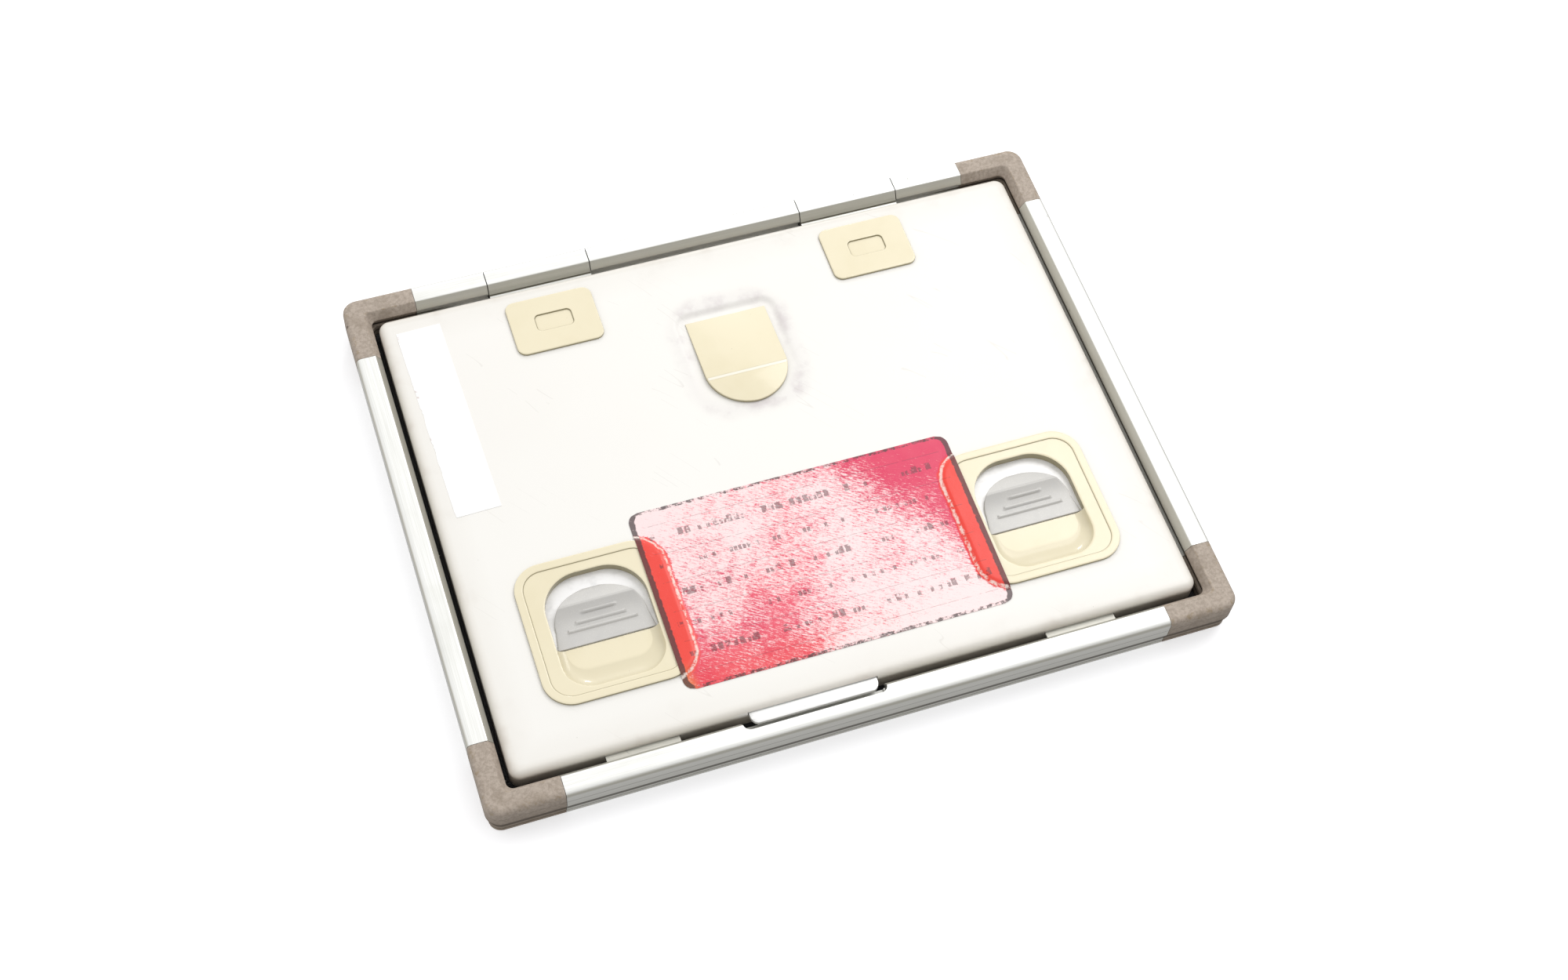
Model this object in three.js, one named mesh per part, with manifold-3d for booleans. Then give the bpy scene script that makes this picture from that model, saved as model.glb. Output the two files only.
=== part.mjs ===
// Radiographic film cassette for 18 x 24 cm film, closed, lying on its tube side with the hinged
// back lid facing up. Millimetres, +Z up, +X along the long side, +Y towards the hinge. The origin
// is the centre of the footprint, on the surface that the cassette lies on.
import * as THREE from "three";
import { mergeVertices } from "three/addons/utils/BufferGeometryUtils.js";
import Module from "manifold-3d";

const wasm = await Module();
wasm.setup();

// ---------------------------------------------------------------- driving dimensions

// frame: four extruded rails joined by moulded corners
const FRAME_W = 272; // outside length, X
const FRAME_D = 214; // outside depth, Y
const FRAME_H = 16; // outside height, Z
const RAIL_TOP = 7.2; // width of the flat top face
const RAIL_WIDTH = 9.2; // outer face to inner wall
const FLANK_DROP = 3.4; // height of the sloping inner flank
const TOP_ROUND = 2; // rounding of the outer top edge
const LOW_STEP = 1; // the lower part of the outer face stands back by this
const LOW_HEIGHT = 5; // height of the lower part
const SIDE_GROOVE = { depth: 0.6, height: 1.4 }; // groove above the lower part
const FOOT_GROOVE = { z: 1.2, depth: 0.5, height: 0.7 }; // fine groove near the foot
const CATCH_GROOVE = { drop: 4, depth: 1.3, height: 3 }; // undercut in the inner wall for the bolts
const LIP_WIDTH = 2.8; // lip under the front panel, measured from the inner wall
const LIP_HEIGHT = 0.8;
const CHAMBER_WALL = 1.8; // rail wall outside the spigot chamber
const CHAMBER = { z: 2.8, width: 5, height: 3.2 }; // chamber that takes the corner spigots
const UPPER_CHAMBER = { wall: 1.4, width: 3.2, height: 2.9 }; // hollow below the pin channel
const SPIGOT_LENGTH = 18;
const SPIGOT_FIT = 0.1;
const CORNER_LEG = 26.7; // leg of a corner piece along each side
const CORNER_RADIUS = 5.5; // plan radius of the outer edge
const CORNER_INNER_RADIUS = 2.5; // plan radius of the inner edge
const SEAM = 0.15; // seam between a rail and a corner piece

// tube side: radiolucent panel, front screen and light seals
const PANEL_THICKNESS = 1.5;
const PANEL_SLOT = 1.2; // depth of the slot that holds the panel
const PANEL_FIT = 0.2;
const SCREEN_THICKNESS = 0.8;
const SCREEN_SIDE_GAP = 1.2; // screens and pad to the seals, X
const SCREEN_END_GAP = 2.2; // screens and pad to the seals, Y
const FILM_GAP = 0.3; // room for one sheet of film
const SEAL_WIDTH = 4.6;
const SEAL_HEIGHT = 3.5;
const SEAL_SETBACK = 1; // seal to inner wall
const SEAL_JOINT = 0.3; // end seals to the long seals

// lid: pressed cover, inner plate, lead foil, foam pad and back screen
const LID_SIDE_GAP = 1.9; // lid edge to inner wall, X
const LID_END_GAP = 2.5; // lid edge to inner wall, Y
const LID_DROP = 1; // lid top below the frame top
const LID_SHEET = 1.2;
const LID_EDGE_ROUND = 2.5;
const LID_CORNER_RADIUS = 4;
const SEAL_TOUCH = 0.2; // lid edge above the seals
const WORKS_HEIGHT = 4.2; // room under the lid sheet for the latches and hinge leaves
const INNER_PLATE = 1;
const INNER_PLATE_FIT = 0.3;
const INNER_PLATE_RIM = 2.8; // height of the turned-up ends
const LEAD_FOIL = 0.4;

// hinge: two leaves whose knuckles fill notches in the hinge rail
const HINGE_FROM_SIDE = 74.1; // frame side to knuckle centre
const KNUCKLE_WIDTH = 39.3;
const KNUCKLE_SEAM = 0.35; // knuckle to notch, each end
const PIN_INSET = 3.3; // pin axis from the frame's outer face
const PIN_DROP = 3.2; // pin axis below the frame top
const PIN_RADIUS = 1.2;
const PIN_FIT = 0.1;
const PIN_HOLD = 10; // length of pin held in the rail at each end
const KNUCKLE_RADIUS = 5.2; // underside of the knuckle, about the pin
const KNUCKLE_FLOOR_GAP = 0.3;
const LEAF_THICKNESS = 1.5;
const LEAF_WIDTH = 30;
const LEAF_REACH = 30; // leaf length past the lid edge
const JOGGLE = { drop: 1.9, under: 0.2, over: 0.4 }; // step of a leaf up to the lid sheet
const SHEET_SLOT_FIT = 0.3;
const RIVET = { radius: 1.5, head: 2.6, top: 2.4, sink: 1, pitch: 18, headHeight: 0.7, fit: 0.15 };
const HINGE_COVER = { width: 33, depth: 24, radius: 3.5, thickness: 0.95, fromEdge: 18.1 };
const COVER_RECESS = { width: 14, depth: 7.3, radius: 1.8, sink: 0.5, shift: -0.4 };

// latches: bezel, finger slider, bolt, guide and return spring
const LATCH_FROM_SIDE = 56.3; // frame side to latch centre
const LATCH_TRAVEL = 5;
const BEZEL = { width: 53, depth: 55.4, radius: 10.5, front: 19.3, thickness: 0.65 };
const BEZEL_RIM = { width: 3, height: 0.35 };
const BEZEL_WALL = 1.2;
const BEZEL_CUT_FIT = 0.4;
const WINDOW = { width: 36.3, top: 68.1, front: 41.1, radius: 14 }; // Y from the lid's front edge
const SCOOP = { front: 24.3, radius: 10, edge: 3.2, run: 7.5, floor: 0.6 };
const BOLT = { width: 26, thickness: 1.2, rear: 65, tail: 81, tailWidth: 9, nose: 0.3, bevel: 0.8 };
const BOLT_FIT = 0.2;
const GUIDE = { thickness: 0.6, wall: 1, front: 4, rear: 90, post: 0.7, postLength: 2.5 };
const SPRING = { radius: 1.25, wire: 0.25, turns: 4 };
const SLIDER = { plate: 0.8, wing: 1.2, rear: 4.5, fit: 0.35 };
const GRIP = { halfFront: 17.6, half: 16.4, top: 62.6, ridge: 56.2, height: 2.2, front: 0.4 };
const GRIP_CROWN = { length: 2.2, drop: 0.15, edge: 0.1 }; // flat top behind the ridge, far slope
const RAMP_CURVE = 1.8; // how late the finger ramp rises towards the ridge
const RIBS = [
  { y: 53.3, length: 12 },
  { y: 50, length: 18.4 },
  { y: 47.4, length: 25 },
];
const RIB_RADIUS = 0.6;
const STEM = { width: 8, depth: 4 };

// small parts on the lid
const TONGUE = { x: -19.2, width: 46.1, reach: 4.6, thickness: 1.3, radius: 3.2, hold: 10 };
const TONGUE_STEP = 0.6; // tongue top below the lid sheet, which its inner end rises to
const TONGUE_NOTCH = { x: -20.2, width: 51.6, reach: 4.3, depth: 8, radius: 2.6 };
const TAB = { half: 15.7, top: 44.1, crease: 71.4, tip: 84.7 }; // Y from the frame's hinge side
const TAB_HEIGHT = { top: -0.5, crease: 1.5, tip: 1.2 }; // above the lid top
const TAB_STEM_RADIUS = 3;
const TAB_CLEAR = 0.1; // underside of the tab to the lid sheet
const TAB_RECESS = { half: 20.3, top: 39.5, end: 79, depth: 1.2, radius: 6 };
const FORM_LABEL = { overlap: 7.1, front: 13.3, depth: 71.5, radius: 4, thickness: 0.25 };
const LABEL_RAMP = { foot: 2, head: 0.4 }; // where it climbs, from the bezel edge
const LABEL_CLEAR = 0.02; // the label bridges the bezel rims by this
const BLANK_LABEL = { width: 16.5, depth: 82, fromSide: 25.8, y: 47, turn: 1.3, thickness: 0.15 };

// making of joined and cut bodies
const JOIN = 0.2; // a body runs this far into one that it is joined to
const CUT = 1; // a cutting body runs this far past what it cuts

// ---------------------------------------------------------------- levels and places

const panelTop = LIP_HEIGHT + PANEL_THICKNESS;
const frontScreenTop = panelTop + SCREEN_THICKNESS;
const backScreenBottom = frontScreenTop + FILM_GAP;
const backScreenTop = backScreenBottom + SCREEN_THICKNESS;
const sealTop = panelTop + SEAL_HEIGHT;
const lidBottom = sealTop + SEAL_TOUCH;
const lidTop = FRAME_H - LID_DROP;
const sheetUnder = lidTop - LID_SHEET;
const innerPlateTop = sheetUnder - WORKS_HEIGHT;
const innerPlateBottom = innerPlateTop - INNER_PLATE;
const padTop = innerPlateBottom - LEAD_FOIL;
const boltBottom = innerPlateTop + GUIDE.thickness + BOLT_FIT;
const boltTop = boltBottom + BOLT.thickness;
const sliderTop = boltTop + SLIDER.plate;
const wallBottom = sliderTop + BOLT_FIT;
const bezelFace = lidTop + BEZEL.thickness;
const rimTop = bezelFace + BEZEL_RIM.height;
const scoopFloor = boltTop + BOLT_FIT + SCOOP.floor;

const innerWallX = FRAME_W / 2 - RAIL_WIDTH;
const innerWallY = FRAME_D / 2 - RAIL_WIDTH;
const lidHalfW = innerWallX - LID_SIDE_GAP;
const lidHalfD = innerWallY - LID_END_GAP;
const lidFront = -lidHalfD;
const pinY = FRAME_D / 2 - PIN_INSET;
const pinZ = FRAME_H - PIN_DROP;
const knuckleX = FRAME_W / 2 - HINGE_FROM_SIDE;
const notchFloor = pinZ - KNUCKLE_RADIUS - KNUCKLE_FLOOR_GAP;
const latchX = FRAME_W / 2 - LATCH_FROM_SIDE;
const leafUnder = sheetUnder - LEAF_THICKNESS;
const rivetY = lidHalfD - HINGE_COVER.fromEdge;
const tongueTop = sheetUnder - TONGUE_STEP;
const tongueUnder = tongueTop - TONGUE.thickness;
const stopTop = sheetUnder - SHEET_SLOT_FIT;
const springZ = (boltBottom + stopTop) / 2;
const tabStemPlace = (TAB.top + TAB.crease) / 2;
const tabStemY = FRAME_D / 2 - tabStemPlace;
const sealX = innerWallX - SEAL_SETBACK;
const sealY = innerWallY - SEAL_SETBACK;
const screenHalfW = sealX - SEAL_WIDTH - SCREEN_SIDE_GAP;
const screenHalfD = sealY - SEAL_WIDTH - SCREEN_END_GAP;

// ---------------------------------------------------------------- materials

const finish = (color, roughness, metalness) =>
  new THREE.MeshStandardMaterial({ color, roughness, metalness });
const ANODISED = finish(0xd9dad6, 0.38, 0.85);
const BRIGHT_SHEET = finish(0xe9e9e6, 0.3, 0.9);
const STEEL = finish(0xb9bbbc, 0.32, 1);
const TAUPE_PLASTIC = finish(0xa89c8b, 0.6, 0);
const LID_PAINT = finish(0xf3efe6, 0.42, 0);
const IVORY_PLASTIC = finish(0xece2bf, 0.38, 0);
const GREY_PLASTIC = finish(0xd5d6d8, 0.36, 0.1);
const BLACK_FELT = finish(0x141416, 0.95, 0);
const PANEL_PAINT = finish(0x56585b, 0.5, 0.1);
const SCREEN_WHITE = finish(0xf1f2ec, 0.55, 0);
const FOAM = finish(0x2b2b2d, 0.95, 0);
const LEAD = finish(0x6d7075, 0.55, 0.8);
const LABEL_RED = finish(0xd9483f, 0.35, 0.2);
const LABEL_WHITE = finish(0xf6f5f2, 0.5, 0);

// ---------------------------------------------------------------- solids

function solid(geometry) {
  geometry.deleteAttribute("normal");
  geometry.deleteAttribute("uv");
  const merged = mergeVertices(geometry, 1e-4);
  return new wasm.Manifold(
    new wasm.Mesh({
      numProp: 3,
      vertProperties: new Float32Array(merged.attributes.position.array),
      triVerts: new Uint32Array(merged.index.array),
    }),
  );
}

function geometryOf(body) {
  const mesh = body.getMesh();
  const geometry = new THREE.BufferGeometry();
  geometry.setAttribute("position", new THREE.BufferAttribute(mesh.vertProperties, 3));
  geometry.setIndex(new THREE.BufferAttribute(mesh.triVerts, 1));
  geometry.computeVertexNormals();
  return geometry;
}

function box(x0, x1, y0, y1, z0, z1) {
  const geometry = new THREE.BoxGeometry(x1 - x0, y1 - y0, z1 - z0);
  return solid(geometry.translate((x0 + x1) / 2, (y0 + y1) / 2, (z0 + z1) / 2));
}

// a flat outline in X and Y, raised from z0 to z1
function plate(shape, z0, z1, curveSegments = 6) {
  const geometry = new THREE.ExtrudeGeometry(shape, {
    depth: z1 - z0,
    bevelEnabled: false,
    curveSegments,
  });
  return solid(geometry.translate(0, 0, z0));
}

// an outline drawn as (Y, Z), run along X and centred on x = 0
function alongX(shape, length, curveSegments = 8) {
  const geometry = new THREE.ExtrudeGeometry(shape, {
    depth: length,
    bevelEnabled: false,
    curveSegments,
  });
  geometry.applyMatrix4(
    new THREE.Matrix4().makeBasis(
      new THREE.Vector3(0, 1, 0),
      new THREE.Vector3(0, 0, 1),
      new THREE.Vector3(1, 0, 0),
    ),
  );
  return solid(geometry.translate(-length / 2, 0, 0));
}

// an outline drawn as (X, Z), run along Y from y0 to y1
function alongY(shape, y0, y1) {
  const geometry = new THREE.ExtrudeGeometry(shape, { depth: y1 - y0, bevelEnabled: false });
  return solid(geometry.rotateX(Math.PI / 2).translate(0, y1, 0));
}

function cylinder(radius, z0, z1, x = 0, y = 0, sides = 20) {
  const geometry = new THREE.CylinderGeometry(radius, radius, z1 - z0, sides);
  return solid(geometry.rotateX(Math.PI / 2).translate(x, y, (z0 + z1) / 2));
}

function polygon(points) {
  return new THREE.Shape(points.map(([u, v]) => new THREE.Vector2(u, v)));
}

function roundedRect(x0, x1, y0, y1, r) {
  const shape = new THREE.Shape();
  shape.moveTo(x0 + r, y0);
  shape.lineTo(x1 - r, y0);
  shape.absarc(x1 - r, y0 + r, r, -Math.PI / 2, 0);
  shape.lineTo(x1, y1 - r);
  shape.absarc(x1 - r, y1 - r, r, 0, Math.PI / 2);
  shape.lineTo(x0 + r, y1);
  shape.absarc(x0 + r, y1 - r, r, Math.PI / 2, Math.PI);
  shape.lineTo(x0, y0 + r);
  shape.absarc(x0 + r, y0 + r, r, Math.PI, Math.PI * 1.5);
  return shape;
}

// a closed body through outlines of the same point count, each { points, z }, lowest first
function loft(levels) {
  const count = levels[0].points.length;
  const position = [];
  const index = [];
  levels.forEach(({ points, z }) => points.forEach((p) => position.push(p.x, p.y, z)));
  for (let k = 0; k + 1 < levels.length; k++) {
    for (let i = 0; i < count; i++) {
      const a = k * count + i;
      const b = k * count + ((i + 1) % count);
      index.push(a, b, b + count, a, b + count, a + count);
    }
  }
  const top = (levels.length - 1) * count;
  for (const [a, b, c] of THREE.ShapeUtils.triangulateShape(levels[0].points, [])) {
    index.push(c, b, a);
  }
  for (const [a, b, c] of THREE.ShapeUtils.triangulateShape(levels.at(-1).points, [])) {
    index.push(top + a, top + b, top + c);
  }
  const geometry = new THREE.BufferGeometry();
  geometry.setAttribute("position", new THREE.Float32BufferAttribute(position, 3));
  geometry.setIndex(index);
  return solid(geometry);
}

const part = new THREE.Group();

function add(name, body, material, x = 0, y = 0, turn = 0) {
  const mesh = new THREE.Mesh(geometryOf(body), material);
  mesh.name = name;
  mesh.position.set(x, y, 0);
  mesh.rotation.z = THREE.MathUtils.degToRad(turn);
  part.add(mesh);
}

const SIDES = [
  { side: "left", sign: -1 },
  { side: "right", sign: 1 },
];

// ---------------------------------------------------------------- frame

// rail section: u runs inwards from the outer face, v is the height above the surface
function railOutline() {
  const grooveTop = LOW_HEIGHT + SIDE_GROOVE.height;
  const footTop = FOOT_GROOVE.z + FOOT_GROOVE.height;
  const flankFoot = FRAME_H - FLANK_DROP;
  const catchTop = FRAME_H - CATCH_GROOVE.drop;
  const catchBottom = catchTop - CATCH_GROOVE.height;
  const lipEdge = RAIL_WIDTH + LIP_WIDTH;
  const shape = new THREE.Shape();
  shape.moveTo(LOW_STEP, 0);
  shape.lineTo(lipEdge, 0);
  shape.lineTo(lipEdge, LIP_HEIGHT);
  shape.lineTo(RAIL_WIDTH - PANEL_SLOT, LIP_HEIGHT);
  shape.lineTo(RAIL_WIDTH - PANEL_SLOT, panelTop);
  shape.lineTo(RAIL_WIDTH, panelTop);
  shape.lineTo(RAIL_WIDTH, catchBottom);
  shape.lineTo(RAIL_WIDTH - CATCH_GROOVE.depth, catchBottom);
  shape.lineTo(RAIL_WIDTH - CATCH_GROOVE.depth, catchTop);
  shape.lineTo(RAIL_WIDTH, catchTop);
  shape.lineTo(RAIL_WIDTH, flankFoot);
  shape.lineTo(RAIL_TOP, FRAME_H);
  shape.lineTo(TOP_ROUND, FRAME_H);
  shape.absarc(TOP_ROUND, FRAME_H - TOP_ROUND, TOP_ROUND, Math.PI / 2, Math.PI);
  shape.lineTo(0, grooveTop);
  shape.lineTo(LOW_STEP + SIDE_GROOVE.depth, grooveTop);
  shape.lineTo(LOW_STEP + SIDE_GROOVE.depth, LOW_HEIGHT);
  shape.lineTo(LOW_STEP, LOW_HEIGHT);
  shape.lineTo(LOW_STEP, footTop);
  shape.lineTo(LOW_STEP + FOOT_GROOVE.depth, footTop);
  shape.lineTo(LOW_STEP + FOOT_GROOVE.depth, FOOT_GROOVE.z);
  shape.lineTo(LOW_STEP, FOOT_GROOVE.z);
  return shape;
}

const spigotChamber = {
  u0: LOW_STEP + CHAMBER_WALL,
  u1: LOW_STEP + CHAMBER_WALL + CHAMBER.width,
  v0: CHAMBER.z,
  v1: CHAMBER.z + CHAMBER.height,
};

function rectanglePath(u0, u1, v0, v1) {
  return polygon([[u0, v0], [u0, v1], [u1, v1], [u1, v0]]);
}

function railSection() {
  const shape = railOutline();
  const { u0, u1, v0, v1 } = spigotChamber;
  const upperFloor = notchFloor + KNUCKLE_FLOOR_GAP;
  const { wall, width, height } = UPPER_CHAMBER;
  const channel = new THREE.Path();
  channel.absarc(PIN_INSET, pinZ, PIN_RADIUS + PIN_FIT, 0, Math.PI * 2, true);
  shape.holes.push(rectanglePath(u0, u1, v0, v1));
  shape.holes.push(rectanglePath(wall, wall + width, upperFloor, upperFloor + height));
  shape.holes.push(channel);
  return shape;
}

function rail(frameLength) {
  return alongX(railSection(), frameLength - 2 * (CORNER_LEG + SEAM));
}

// the lift tongue's notch, cut down into the front rail
function tongueNotch() {
  const { x, width, reach, depth, radius } = TONGUE_NOTCH;
  const shape = roundedRect(
    x - width / 2,
    x + width / 2,
    RAIL_WIDTH - reach,
    RAIL_WIDTH + LIP_WIDTH + 2 * radius,
    radius,
  );
  return plate(shape, FRAME_H - depth, FRAME_H + CUT);
}

function hingeNotch(x) {
  const half = KNUCKLE_WIDTH / 2 + KNUCKLE_SEAM;
  return box(x - half, x + half, -CUT, RAIL_WIDTH + LIP_WIDTH + CUT, notchFloor, FRAME_H + CUT);
}

// the rail section swept round a right angle, with its outer corner at the origin
function cornerSweep() {
  const outline = railOutline().extractPoints(8).shape;
  const steps = 7;
  const stations = steps + 3;
  const position = [];
  const index = [];
  for (let k = 0; k < stations; k++) {
    for (const { x: s, y: z } of outline) {
      const radius = Math.max(CORNER_RADIUS - s, CORNER_INNER_RADIUS);
      const centre = s + radius;
      const angle = Math.PI * (1.5 - (0.5 * (k - 1)) / steps);
      const onArc = k > 0 && k < stations - 1;
      const x = onArc ? centre + radius * Math.cos(angle) : k === 0 ? CORNER_LEG : s;
      const y = onArc ? centre + radius * Math.sin(angle) : k === 0 ? s : CORNER_LEG;
      position.push(x, y, z);
    }
  }
  const count = outline.length;
  for (let k = 0; k + 1 < stations; k++) {
    for (let i = 0; i < count; i++) {
      const a = k * count + i;
      const b = k * count + ((i + 1) % count);
      index.push(a, a + count, b + count, a, b + count, b);
    }
  }
  const last = (stations - 1) * count;
  for (const [a, b, c] of THREE.ShapeUtils.triangulateShape(outline, [])) {
    index.push(a, b, c, last + c, last + b, last + a);
  }
  const geometry = new THREE.BufferGeometry();
  geometry.setAttribute("position", new THREE.Float32BufferAttribute(position, 3));
  geometry.setIndex(index);
  return solid(geometry);
}

function cornerPiece() {
  const { u0, u1, v0, v1 } = spigotChamber;
  const root = CORNER_LEG - JOIN;
  const tip = CORNER_LEG + SPIGOT_LENGTH;
  const [s0, s1, z0, z1] = [u0 + SPIGOT_FIT, u1 - SPIGOT_FIT, v0 + SPIGOT_FIT, v1 - SPIGOT_FIT];
  return cornerSweep().add(box(root, tip, s0, s1, z0, z1)).add(box(s0, s1, root, tip, z0, z1));
}

function addFrame() {
  const hingeRail = rail(FRAME_W).subtract(hingeNotch(-knuckleX)).subtract(hingeNotch(knuckleX));
  add("rail_front", rail(FRAME_W).subtract(tongueNotch()), ANODISED, 0, -FRAME_D / 2);
  add("rail_hinge", hingeRail, ANODISED, 0, FRAME_D / 2, 180);
  add("rail_left", rail(FRAME_D), ANODISED, -FRAME_W / 2, 0, -90);
  add("rail_right", rail(FRAME_D), ANODISED, FRAME_W / 2, 0, 90);
  const corner = cornerPiece();
  add("corner_front_left", corner, TAUPE_PLASTIC, -FRAME_W / 2, -FRAME_D / 2, 0);
  add("corner_front_right", corner, TAUPE_PLASTIC, FRAME_W / 2, -FRAME_D / 2, 90);
  add("corner_hinge_right", corner, TAUPE_PLASTIC, FRAME_W / 2, FRAME_D / 2, 180);
  add("corner_hinge_left", corner, TAUPE_PLASTIC, -FRAME_W / 2, FRAME_D / 2, 270);
}

// ---------------------------------------------------------------- tube side

function addTubeSide() {
  const panelX = innerWallX + PANEL_SLOT - PANEL_FIT;
  const panelY = innerWallY + PANEL_SLOT - PANEL_FIT;
  const panel = roundedRect(-panelX, panelX, -panelY, panelY, CORNER_INNER_RADIUS);
  add("front_panel", plate(panel, LIP_HEIGHT, panelTop), PANEL_PAINT);
  add("front_screen", screenSizeBox(panelTop, frontScreenTop), SCREEN_WHITE);

  const longSeal = box(-sealX, sealX, -SEAL_WIDTH, 0, panelTop, sealTop);
  const endHalf = sealY - SEAL_WIDTH - SEAL_JOINT;
  const endSeal = box(-SEAL_WIDTH, 0, -endHalf, endHalf, panelTop, sealTop);
  add("light_seal_hinge", longSeal, BLACK_FELT, 0, sealY);
  add("light_seal_front", longSeal, BLACK_FELT, 0, -sealY, 180);
  add("light_seal_right", endSeal, BLACK_FELT, sealX);
  add("light_seal_left", endSeal, BLACK_FELT, -sealX, 0, 180);
}

// the screens, the pad and the lead foil share one plan
function screenSizeBox(z0, z1) {
  return box(-screenHalfW, screenHalfW, -screenHalfD, screenHalfD, z0, z1);
}

// ---------------------------------------------------------------- lid cover

// a rounded block with a rounded top edge, set in from the lid's outline by inset
function lidBlock(inset, bottom, top, edge) {
  const steps = 5;
  const outline = (extra) =>
    roundedRect(
      -lidHalfW + inset + extra,
      lidHalfW - inset - extra,
      -lidHalfD + inset + extra,
      lidHalfD - inset - extra,
      LID_CORNER_RADIUS - inset - extra,
    ).extractPoints(5).shape;
  const levels = [{ points: outline(0), z: bottom }];
  for (let k = 0; k <= steps; k++) {
    const angle = (Math.PI / 2) * (k / steps);
    const extra = edge * (1 - Math.cos(angle));
    levels.push({ points: outline(extra), z: top - edge + edge * Math.sin(angle) });
  }
  return loft(levels);
}

// the pressed wedge under the centre tab, deepest at its hinge end: set out from the hollow that
// it presses by offset, downwards and all round
function tabRecess(offset) {
  const yTop = FRAME_D / 2 - TAB_RECESS.top + offset;
  const yEnd = FRAME_D / 2 - TAB_RECESS.end;
  const half = TAB_RECESS.half + offset;
  const level = lidTop - offset;
  const roof = level + LID_SHEET / 2;
  const side = polygon([
    [yTop, level - TAB_RECESS.depth],
    [yTop, roof],
    [yEnd, roof],
    [yEnd, level],
  ]);
  const plan = roundedRect(-half, half, yEnd, yTop, TAB_RECESS.radius + offset);
  return alongX(side, 2 * half).intersect(plate(plan, 0, 2 * FRAME_H));
}

function recessFloorAt(fromHingeSide) {
  const share = (TAB_RECESS.end - fromHingeSide) / (TAB_RECESS.end - TAB_RECESS.top);
  return lidTop - TAB_RECESS.depth * Math.max(0, share);
}

function bezelCutOut(x) {
  const half = WINDOW.width / 2 + BEZEL_WALL + BEZEL_CUT_FIT;
  const rear = lidFront + WINDOW.top + BEZEL_WALL + BEZEL_CUT_FIT;
  const front = lidFront + SCOOP.front - BEZEL_WALL - BEZEL_CUT_FIT;
  const shape = roundedRect(x - half, x + half, front, rear, SCOOP.radius);
  return plate(shape, sheetUnder - CUT, lidTop + CUT);
}

// a slot through the turned-down edge, at the front (end -1) or at the hinge (end 1)
function edgeSlot(end, x, width, z0, z1) {
  const half = width / 2 + SHEET_SLOT_FIT;
  const ys = [end * (lidHalfD - LID_SHEET - LID_EDGE_ROUND), end * (lidHalfD + CUT)];
  return box(x - half, x + half, Math.min(...ys), Math.max(...ys), z0, z1);
}

function lidSheet() {
  const leafSlotFloor = leafUnder - JOGGLE.drop - SHEET_SLOT_FIT;
  const stemHole = cylinder(TAB_STEM_RADIUS + SHEET_SLOT_FIT, 0, FRAME_H, 0, tabStemY, 24);
  let sheet = lidBlock(0, lidBottom, lidTop, LID_EDGE_ROUND)
    .subtract(lidBlock(LID_SHEET, lidBottom - CUT, sheetUnder, LID_EDGE_ROUND - LID_SHEET))
    .add(tabRecess(LID_SHEET))
    .subtract(tabRecess(0))
    .subtract(stemHole)
    .subtract(edgeSlot(-1, TONGUE.x, TONGUE.width, tongueUnder - SHEET_SLOT_FIT, sheetUnder));
  for (const { sign } of SIDES) {
    const x = sign * latchX;
    const [boltSlotZ0, boltSlotZ1] = [boltBottom - SHEET_SLOT_FIT, boltTop + SHEET_SLOT_FIT];
    sheet = sheet
      .subtract(bezelCutOut(x))
      .subtract(edgeSlot(-1, x, BOLT.width, boltSlotZ0, boltSlotZ1))
      .subtract(edgeSlot(1, sign * knuckleX, KNUCKLE_WIDTH, leafSlotFloor, sheetUnder));
    for (const rivetX of rivetPlaces(sign)) {
      sheet = sheet.subtract(rivetBody(RIVET.fit, FRAME_H).translate([rivetX, rivetY, 0]));
    }
  }
  return sheet;
}

function addLidBody() {
  add("lid_panel", lidSheet(), LID_PAINT);

  const plateX = lidHalfW - LID_SHEET - INNER_PLATE_FIT;
  const plateY = lidHalfD - LID_SHEET - INNER_PLATE_FIT;
  const rimTopZ = innerPlateTop + INNER_PLATE_RIM;
  let inner = box(-plateX, plateX, -plateY, plateY, innerPlateBottom, innerPlateTop);
  const rimY = plateY - LID_CORNER_RADIUS;
  for (const { sign } of SIDES) {
    const x0 = sign < 0 ? -plateX : plateX - INNER_PLATE;
    inner = inner.add(box(x0, x0 + INNER_PLATE, -rimY, rimY, innerPlateBottom, rimTopZ));
  }
  const cornerCut = roundedRect(-plateX, plateX, -plateY, plateY, LID_CORNER_RADIUS);
  add("inner_plate", inner.intersect(plate(cornerCut, 0, FRAME_H)), BRIGHT_SHEET);
  add("lead_foil", screenSizeBox(padTop, innerPlateBottom), LEAD);
  add("pressure_pad", screenSizeBox(backScreenTop, padTop), FOAM);
  add("back_screen", screenSizeBox(backScreenBottom, backScreenTop), SCREEN_WHITE);
}

// ---------------------------------------------------------------- hinge

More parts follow.
